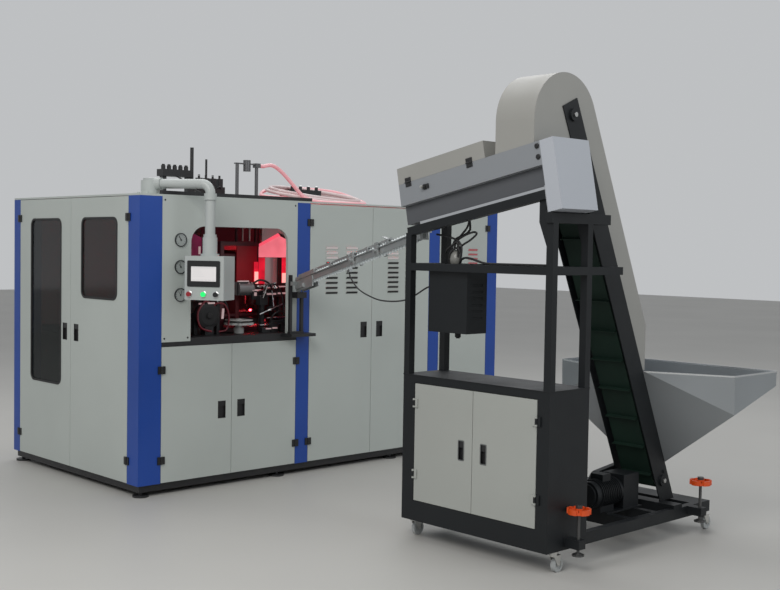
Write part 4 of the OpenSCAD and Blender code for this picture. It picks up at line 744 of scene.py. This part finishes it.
# Left side of the orienting unit: connector with its gland, two screws, a small block
UNIT_SIDE = 600
fittings = [lathe_part([(15, 0), (15, 6), (11, 7), (11, 14)], (UNIT_SIDE, -217, 66), LEFTWARD, UNIT)]
fittings += [lathe_part([(13, 0), (13, 5), (9, 9)], (UNIT_SIDE, -985, z), LEFTWARD, UNIT) for z in (95, 42)]
fittings.append(box_part((UNIT_SIDE - 10, -245, 55), (UNIT_SIDE, -228, 78), UNIT))
add_piece("unit_fittings", "root", fittings, satin_black)
connector = lathe_part([(9, 0), (9, 12), (6, 13), (6, 18)], (UNIT_SIDE - 8, -205, 68), LEFTWARD, UNIT)
add_piece("unit_connector", "root", [connector], zinc)

# Preforms: their support rings lie on top of the chute's rails, the bodies hang in the gap
PREFORMS = 44
PREFORM_PITCH = 34.2
FIRST_PREFORM = 60
RAIL_TOP = 20.2
PREFORM = [(0.5, -56), (4.5, -54.5), (7.2, -51), (8.2, -45), (8.3, -4), (8.4, 0), (12, 0.2), (12, 1.9),
           (8.6, 2.2), (8.6, 5), (9.6, 5.6), (9.6, 7), (8.6, 7.6), (8.6, 9.2), (9.6, 9.8), (9.6, 11),
           (8.6, 11.6), (8.4, 17), (6.6, 17)]
row = [lathe_part(PREFORM, (0, FIRST_PREFORM + PREFORM_PITCH * i, RAIL_TOP), UPWARD, CHUTE, n=12)
       for i in range(PREFORMS)]
add_piece("chute_preforms", "root", row, preform, smooth=True)


# Inside the work opening: heat screen, guard, station plate, cylinder, grippers and hoses
def glow(name, color, strength, low=0.7, scale=9):
    """Sheet that glows with painted light of the oven's lamps, stronger in places."""
    m = new_material(name, tuple(0.5 * c for c in color), 0.45, emit=(*color, strength))
    link(m, mottle(m, scale, strength * low, strength, 2), shader(m).inputs["Emission Strength"])
    return m


def curved_sheet(x0, x1, y, depth, z0, z1, thick=3, n=12):
    """Upright sheet bent towards the front."""
    outer, inner = [], []
    for k in range(n + 1):
        t = k / n
        bow = depth * math.sin(math.pi * t)
        outer.append((x0 + (x1 - x0) * t, y - bow))
        inner.append((x0 + (x1 - x0) * t, y - bow + thick))
    ring = outer + inner[::-1]
    v = [BODY @ (Vector((p[0], p[1], z)) / MM) for z in (z0, z1) for p in ring]
    m = len(ring)
    f = [(k, (k + 1) % m, m + (k + 1) % m, m + k) for k in range(m)]
    f += [(k, m - 1 - k, m - 2 - k, k + 1) for k in range(n)]
    f += [(m + k, m + k + 1, 2 * m - 2 - k, 2 * m - 1 - k) for k in range(n)]
    return v, f


# These glowing materials are painted light: the oven's lamps seen on sheets, patches and edges, though none
# of them is a lamp
pink = glow("heat_screen", (0.92, 0.20, 0.25), 1.05)
pink_strip = glow("heat_strip", (0.85, 0.09, 0.14), 1.2, 0.85)
red_glow = glow("red_glow", (0.78, 0.012, 0.035), 0.95, 0.45, 14)
violet = glow("violet_glow", (0.30, 0.02, 0.09), 0.36, 0.4, 9)
deep_red = glow("deep_red", (0.24, 0.001, 0.006), 0.40, 0.5, 6)
dull_red = glow("dull_red", (0.10, 0.006, 0.012), 0.16, 0.6, 4)
highlight_glow = glow("painted_highlight", (1.0, 0.42, 0.38), 1.1, 0.8)
zinc_dull = new_material("zinc_dull", (0.30, 0.285, 0.29), 0.3, 0.6)
# The guard sheet, the upper sheet and the bright edges glow faintly too: painted light
sheet_grey = new_material("guard_sheet", (0.40, 0.34, 0.34), 0.3, 0.5, emit=(0.5, 0.25, 0.25, 0.12))
lit_grey = new_material("lit_sheet", (0.34, 0.30, 0.30), 0.4, emit=(0.3, 0.22, 0.22, 0.25))
lit_metal = new_material("lit_metal", (0.55, 0.50, 0.50), 0.3, 0.4, emit=(0.9, 0.52, 0.52, 0.26))
red_hose = new_material("red_hose", (0.20, 0.008, 0.02), 0.35, coat=0.3)

# Sheets behind the opening, glowing with painted light of the lamps: outline in x and z, front and back in y
screen_sheet = plate_part([(1107, 1484), (1356, 1484), (1356, 1607), (1284, 1634), (1107, 1554)], 270, 274)
add_piece("heat_screen", "root", [screen_sheet], pink)
strip = plate_part([(1106, 1556), (1289, 1637), (1269, 1652), (1106, 1576)], 266, 269.5)
add_piece("heat_strip", "root", [strip], pink_strip)
upper = plate_part([(1135, 1588), (1284, 1655), (1338, 1637), (1334, 1690), (1135, 1690)], 272, 275)
add_piece("upper_sheet", "root", [upper], lit_grey)
add_piece("guard_sheet", "root", [curved_sheet(1166, 1272, 276, 26, 1297, 1483)], sheet_grey)
SIDE_GLOW = (((1066, 268, 1300), (1100, 272, 1452)), ((1306, 270, 1306), (1355, 274, 1482)),
             ((1108, 279, 1298), (1166, 281, 1482)))
add_piece("side_glow", "root", box_parts(SIDE_GLOW), red_glow)
left_sheet = plate_part([(645, 1487), (748, 1487), (748, 1610), (645, 1655)], 436, 440)
add_piece("left_glow", "root", [left_sheet], violet)
add_piece("station_plate", "root", [box_part((930, 283, 1300), (1104, 288, 1560))], deep_red)
add_piece("back_plate", "root", [box_part((800, 520, 1590), (1300, 524, 1850))], dull_red)
GUARD_FRAME = (((1272, 268, TABLE_Z), (1305, 276, 1484)), ((1356, 268, TABLE_Z), (1372, 276, 1690)),
               ((1103, 277, TABLE_Z), (1109, 283, 1690)), ((1103, 266, 1290), (1372, 278, 1300)),
               ((1103, 274, 1482), (1372, 278, 1488)), ((640, 436, TABLE_Z), (646, 444, 1660)),
               ((1066, 272, 1290), (1109, 283, 1300)))
add_piece("guard_frame", "root", box_parts(GUARD_FRAME), satin_black)

# Front cylinder and its rod
CYLINDER = (884, 222, 1272)
CYLINDER_L = 120
barrel = [(30, 0), (46, 0), (46, 12), (43, 14), (43, 106), (46, 108), (46, CYLINDER_L), (20, CYLINDER_L)]
rod_start = (CYLINDER[0] + CYLINDER_L, CYLINDER[1], CYLINDER[2])
add_piece("front_cylinder", "root", [lathe_part(barrel, CYLINDER, (1, 0, 0)),
                                     lathe_part([(7, 0), (7, 60)], rod_start, (1, 0, 0), n=12)],
          zinc_dull)

# Grippers and the blocks that they stand on
GRIPPER_BLOCKS = (
    ((900, 262, 1252), (990, 290, 1292)),
    ((1040, 150, TABLE_Z), (1068, 178, 1180)), ((1024, 140, 1160), (1090, 190, 1226)),
    ((1086, 120, 1120), (1150, 150, 1150)), ((1150, 180, TABLE_Z), (1176, 206, 1240)),
    ((1110, 170, 1214), (1214, 214, 1262)), ((1190, 110, TABLE_Z), (1246, 150, 1090)),
    ((1010, 96, TABLE_Z), (1080, 130, 1010)), ((1090, 96, 1040), (1190, 112, 1058)),
    ((1090, 100, TABLE_Z), (1150, 140, 1040)), ((1226, 196, TABLE_Z), (1250, 220, 1278)),
    ((572, 130, TABLE_Z), (638, 186, 1030)), ((676, 150, TABLE_Z), (700, 176, 1180)),
    ((990, 182, 1196), (1102, 204, 1262)), ((880, 196, 1226), (990, 206, 1318)),
    ((520, 180, TABLE_Z), (548, 210, 1120)), ((1010, 210, 1262), (1070, 262, 1286)))
add_piece("gripper_blocks", "root", box_parts(GRIPPER_BLOCKS), black)

# Fan: housing and hub
FAN = (605, 196, 1100)
add_piece("inner_fan", "root", [lathe_part([(60, 0), (86, 4), (86, 60), (60, 66)], FAN, FORWARD, n=28),
                                lathe_part([(22, 66), (22, 72), (16, 76)], FAN, FORWARD, n=20)],
          rubber)

# Edges of the grippers with painted highlights of the oven's light
LIT_EDGES = (
    ((880, 194, 1318), (968, 208, 1326)), ((1106, 172, 1273), (1196, 184, 1281)),
    ((1206, 176, 1279), (1282, 188, 1287)), ((1106, 166, 1228), (1180, 176, 1240)),
    ((1196, 166, 1232), (1270, 176, 1243)), ((990, 178, 1256), (1060, 184, 1266)),
    ((1004, 176, 1222), (1022, 182, 1246)), ((1040, 94, 998), (1086, 104, 1006)),
    ((1100, 94, 1000), (1138, 104, 1010)), ((530, 134, 1176), (566, 146, 1186)),
    ((596, 134, 1178), (650, 146, 1188)), ((696, 396, 1500), (712, 400, 1552)))
edges = [plate_part([(958, 1303), (1012, 1262), (1022, 1276), (968, 1318)], 196, 204),
         plate_part([(700, 1078), (716, 1078), (722, 1146), (706, 1146)], 128, 134)]
add_piece("lit_edges", "root", edges + box_parts(LIT_EDGES), lit_metal)
# Bright patches on two sheets: painted highlights of the oven's light
HIGHLIGHT_SHEETS = (((1068, 263, 1302), (1098, 266, 1384)), ((1310, 266, 1306), (1353, 269, 1374)))
add_piece("highlight_sheets", "root", box_parts(HIGHLIGHT_SHEETS), highlight_glow)

# Rods of the grippers, each with a collar: start, direction, radius, length
RODS = (
    ((1010, 160, 1252), (1, 0.1, 0.16), 5, 190), ((1004, 118, 1100), (1, -0.05, 0.35), 5, 200),
    ((1056, 104, 1076), (1, 0.02, 0), 4, 170), ((1130, 128, 1150), (0, 0.2, 1), 5, 110),
    ((1010, 130, 1026), (1, 0, 0.02), 6, 230), ((1200, 190, 1262), (-0.6, -0.5, 0.35), 5, 90),
    ((1234, 130, 1090), (0, 0, 1), 6, 130), ((690, 163, 1180), (0, 0, 1), 6, 60),
    ((1010, 150, 1290), (1, -0.05, 0.02), 7, 120), ((1080, 176, 1276), (0.7, -0.6, 0.4), 6, 90),
    ((1120, 190, 1282), (1, 0, 0), 8, 110), ((1040, 130, 1210), (0.2, -0.3, 1), 5, 90))
rods = []
for start, axis, r, length in RODS:
    rods.append(lathe_part([(r, 0), (r, length)], start, axis, n=10))
    rods.append(lathe_part([(r + 5, length * 0.4), (r + 5, length * 0.4 + 12)], start, axis, n=10))
add_piece("gripper_rods", "root", rods, chrome)

# Pale disc round the hub of the transfer wheel
WHEEL_AXIS = (870, 170, 1060)
disc = lathe_part([(24.5, 0), (92, 0), (94, 2), (94, 6), (24.5, 7)], WHEEL_AXIS, UPWARD, n=32)
add_piece("wheel_disc", "star_wheel", [disc], white_plastic)

# Hoses of the work opening: the first RED_HOSES are red, thin and thick ones take turns
INNER_HOSES = (
    ((612, 160, 1140), (610, 150, 1190), (560, 120, 1196), (500, 110, 1120), (520, 105, 1030),
     (600, 100, 1000)),
    ((640, 150, 1140), (660, 130, 1180), (720, 120, 1170), (752, 118, 1090), (730, 112, 1010),
     (668, 110, 996)),
    ((580, 180, 1140), (590, 170, 1220), (660, 160, 1236), (740, 150, 1190), (770, 150, 1100),
     (776, 160, 1000)),
    ((1060, 166, 1226), (1070, 130, 1290), (1130, 110, 1300), (1190, 120, 1240), (1214, 128, 1150),
     (1220, 130, 1090)),
    ((1000, 200, 1300), (1040, 170, 1330), (1100, 150, 1310), (1140, 160, 1262), (1160, 190, 1240)),
    ((1090, 112, 1050), (1100, 84, 1100), (1160, 80, 1120), (1210, 90, 1080), (1216, 112, 1030)))
RED_HOSES = 2
THIN_HOSE, THICK_HOSE = 0.011, 0.014
for k, pts in enumerate(INNER_HOSES):
    tube(f"inner_hose_{k + 1}", smooth_path(pts, STEPS), THIN_HOSE if k % 2 else THICK_HOSE,
         red_hose if k < RED_HOSES else rubber)

# Roof: black and bright caps on the valves, short hoses and the grommets that they enter
TALL_VALVES, TALL_PITCH = 5, 46
LOW_VALVES, LOW_PITCH, WIDE_PITCH = 4, 60, 78
caps, tips = [], []
for k in range(TALL_VALVES):
    caps.append(lathe_part([(11, 0), (11, 8), (8, 10)], (606 + k * TALL_PITCH, 700, 2104), UPWARD, n=16))
for k in range(LOW_VALVES):
    kind = caps if k % 2 else tips
    kind.append(lathe_part([(8.4, 0), (8.4, 3), (6, 8)], (1056 + k * LOW_PITCH, 934, 2066), UPWARD, n=12))
    tips.append(lathe_part([(13.4, 0), (13.4, 5), (9, 8)], (1712 + k * WIDE_PITCH, 670, 2013), UPWARD, n=12))
add_piece("valve_caps", "root", caps, satin_black)
add_piece("valve_tips", "root", tips, chrome)
ROOF_HOSES = (
    ((600, 690, 2036), (560, 640, 2010), (520, 560, 1960), (478, 506, 1905), (470, 496, ROOF_Z + 4)),
    ((700, 690, 2036), (690, 600, 2010), (720, 520, 1950), (790, 476, 1905), (802, 468, ROOF_Z + 4)),
    ((1040, 925, 1960), (980, 880, 1990), (925, 800, 1950), (904, 730, 1895), (900, 716, ROOF_Z + 4)),
    ((1180, 925, 1960), (1216, 900, 1990), (1252, 940, 1950), (1264, 976, 1905), (1266, 984, ROOF_Z + 4)))
for k, pts in enumerate(ROOF_HOSES):
    tube(f"roof_hose_{k + 1}", smooth_path(pts, STEPS), 0.012, rubber)
GROMMET = [(17, 0), (17, 5), (9, 14)]
add_piece("roof_grommets", "root",
          [lathe_part(GROMMET, (*pts[-1][:2], ROOF_Z), UPWARD, n=16) for pts in ROOF_HOSES], rubber)

# Loops of cable above the electric box, and the wrap that holds them
CABLE_LOOPS = (
    ((716, -2068, 1757), (712, -2057, 1716), (712, -2039, 1673), (710, -1977, 1610),
     (705, -1985, 1575), (702, -1980, 1500)),
    ((700, -1965, 1560), (700, -1972, 1595), (700, -1993, 1614), (700, -2039, 1636),
     (700, -2094, 1652), (700, -2119, 1648), (700, -2111, 1634), (700, -2071, 1608),
     (700, -2027, 1587), (702, -2000, 1560), (702, -1990, 1500)),
    ((692, -1842, 1640), (690, -1901, 1633), (690, -1933, 1628), (690, -1966, 1619),
     (690, -1998, 1608), (690, -2021, 1584), (692, -2024, 1552), (696, -2010, 1490)),
    ((690, -1915, 1545), (680, -1930, 1558), (680, -1944, 1569), (680, -1976, 1588),
     (680, -1998, 1601), (684, -2010, 1580), (690, -2000, 1520)),
    ((690, -1943, 1470), (680, -1948, 1525), (680, -1970, 1556), (682, -2008, 1570),
     (688, -2020, 1540)))
for k, pts in enumerate(CABLE_LOOPS):
    tube(f"unit_cable_{k + 1}", smooth_path(pts, STEPS), 0.011, rubber)
WRAP = [(24, 0), (31, 14), (33, 34), (28, 56), (16, 74), (8, 80)]
add_piece("cable_wrap", "root", [lathe_part(WRAP, (701, -1976, 1478), (0.02, 0, 1), n=14)], tape,
          smooth=True)

# Further turns of the hose on the roof: half lengths, middle height
COIL_MIDDLE = (1850, 560)
COIL_WAVE = 46
COIL_POINTS = 20
ROOF_COILS = ((440, 196, 1939), (410, 176, 1958))
for k, (half_x, half_y, middle_z) in enumerate(ROOF_COILS):
    turn = []
    for i in range(COIL_POINTS + 1):
        a = 2 * math.pi * i / COIL_POINTS
        turn.append((COIL_MIDDLE[0] + half_x * math.cos(a), COIL_MIDDLE[1] + half_y * math.sin(a),
                     middle_z + COIL_WAVE * math.sin(a - 0.5)))
    tube(f"roof_coil_{k + 1}", smooth_path(turn, 3), 0.024, coil_mat, 4)

# Cords: the same routes as in part.scad
HOSE = [(1197.6, 400, 2122), (1214, 400, 2122), (1238, 400, 2122.4), (1270, 401, 2130), (1310, 402, 2133),
        (1356, 402, 2118), (1420, 398, 2074),
        (1500, 390, 2000), (1580, 376, 1926), (1680, 358, 1893), (1800, 350, 1888), (1930, 350, 1888),
        (2080, 370, 1890), (2220, 430, 1895), (2310, 540, 1912), (2300, 660, 1950), (2217, 735, 1986),
        (2090, 765, 2000), (1980, 770, 2003), (1880, 770, 2003), (1780, 766, 2003), (1680, 758, 2003),
        (1560, 730, 1988), (1450, 680, 1962), (1375, 610, 1934), (1356, 540, 1920), (1390, 490, 1914),
        (1450, 471, 1912), (1500, 470, 1912), (1548.7, 470, 1912)]
SENSOR = [(1028.3, -767, 1406.6), (1028.3, -767, 1394), (1022, -789, 1368), (965, -930, 1306),
          (909, -1140, 1261), (863, -1317, 1256), (822, -1474, 1271), (794, -1582, 1303), (768, -1700, 1350),
          (752, -1790, 1372), (748, -1829.7, 1374)]
for node, pts, d, mat, kind, lay in (("air_hose", HOSE, 0.027, hose_mat, "hose", "loose"),
                                     ("sensor_cable", SENSOR, 0.009, rubber, "cable", "hanging")):
    path = smooth_path(pts, STEPS)
    piece = tube(node + "_looks", path, d, mat, 4)
    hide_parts(node)

# Floor, backdrop, light, camera
FLOOR_SIDE = 60
floor_mat = new_material("floor", (0.52, 0.512, 0.488), 0.5, spec=0.3)
shade(floor_mat, 0.93, 0.5)
bpy.ops.mesh.primitive_plane_add(size=FLOOR_SIDE, location=(0, 0, 0))
floor = bpy.context.object
floor.name = "floor"
floor.data.materials.append(floor_mat)

world = bpy.data.worlds.new("studio")
bpy.context.scene.world = world
world.use_nodes = True
sky = world.node_tree
sky.nodes["Background"].inputs["Color"].default_value = (0.86, 0.88, 0.90, 1)
# The backdrop is a little paler than the light that falls from it, in mirrors too
SKY_LIGHT, SKY_SEEN = 0.42, 0.60
path = sky.nodes.new("ShaderNodeLightPath")
seen = path.outputs["Is Camera Ray"]
for ray in ("Is Glossy Ray", "Is Transmission Ray"):
    either = sky.nodes.new("ShaderNodeMath")
    either.operation = "MAXIMUM"
    sky.links.new(seen, either.inputs[0])
    sky.links.new(path.outputs[ray], either.inputs[1])
    seen = either.outputs[0]
level = sky.nodes.new("ShaderNodeMapRange")
level.inputs["To Min"].default_value = SKY_LIGHT
level.inputs["To Max"].default_value = SKY_SEEN
sky.links.new(seen, level.inputs[0])
sky.links.new(level.outputs[0], sky.nodes["Background"].inputs["Strength"])


def area(name, location, target, size, power, color=(1, 1, 1)):
    """Rectangular light, sizes in metres and power in watts, turned to a target."""
    data = bpy.data.lights.new(name, "AREA")
    data.shape = "RECTANGLE"
    data.size, data.size_y = size
    data.energy = power
    data.color = color
    obj = bpy.data.objects.new(name, data)
    bpy.context.scene.collection.objects.link(obj)
    obj.location = location
    obj.rotation_euler = (Vector(target) - Vector(location)).to_track_quat("-Z", "Y").to_euler()


area("key", (-7, -3.5, 6.0), (0, -0.5, 0.8), (5, 4), 330, (1.0, 0.985, 0.96))
area("fill", (1.5, -9, 5.0), (0.2, -1, 1.0), (6, 4), 150, (0.93, 0.97, 1.0))
area("top", (1.0, 2.5, 6.5), (0.2, 0, 1.0), (7, 6), 190)

# The camera solved from the photo: place in metres, turn, tilt from straight down, roll, lens in millimetres
CAMERA_PLACE = (-5.3413, -5.45375, 1.568)
CAMERA_TURN = -43.52
CAMERA_TILT = 87.62
CAMERA_ROLL = 0.93
CAMERA_LENS = 53.1
SENSOR_WIDTH = 36
camera_data = bpy.data.cameras.new("camera")
camera_data.sensor_width = SENSOR_WIDTH
camera_data.lens = CAMERA_LENS
camera_data.clip_end = 100
camera = bpy.data.objects.new("camera", camera_data)
bpy.context.scene.collection.objects.link(camera)
camera.matrix_world = (Matrix.Translation(CAMERA_PLACE) @ degrees(CAMERA_TURN, "Z")
                       @ degrees(CAMERA_TILT, "X") @ degrees(CAMERA_ROLL, "Z"))
bpy.context.scene.camera = camera
bpy.context.scene.view_settings.view_transform = "Standard"
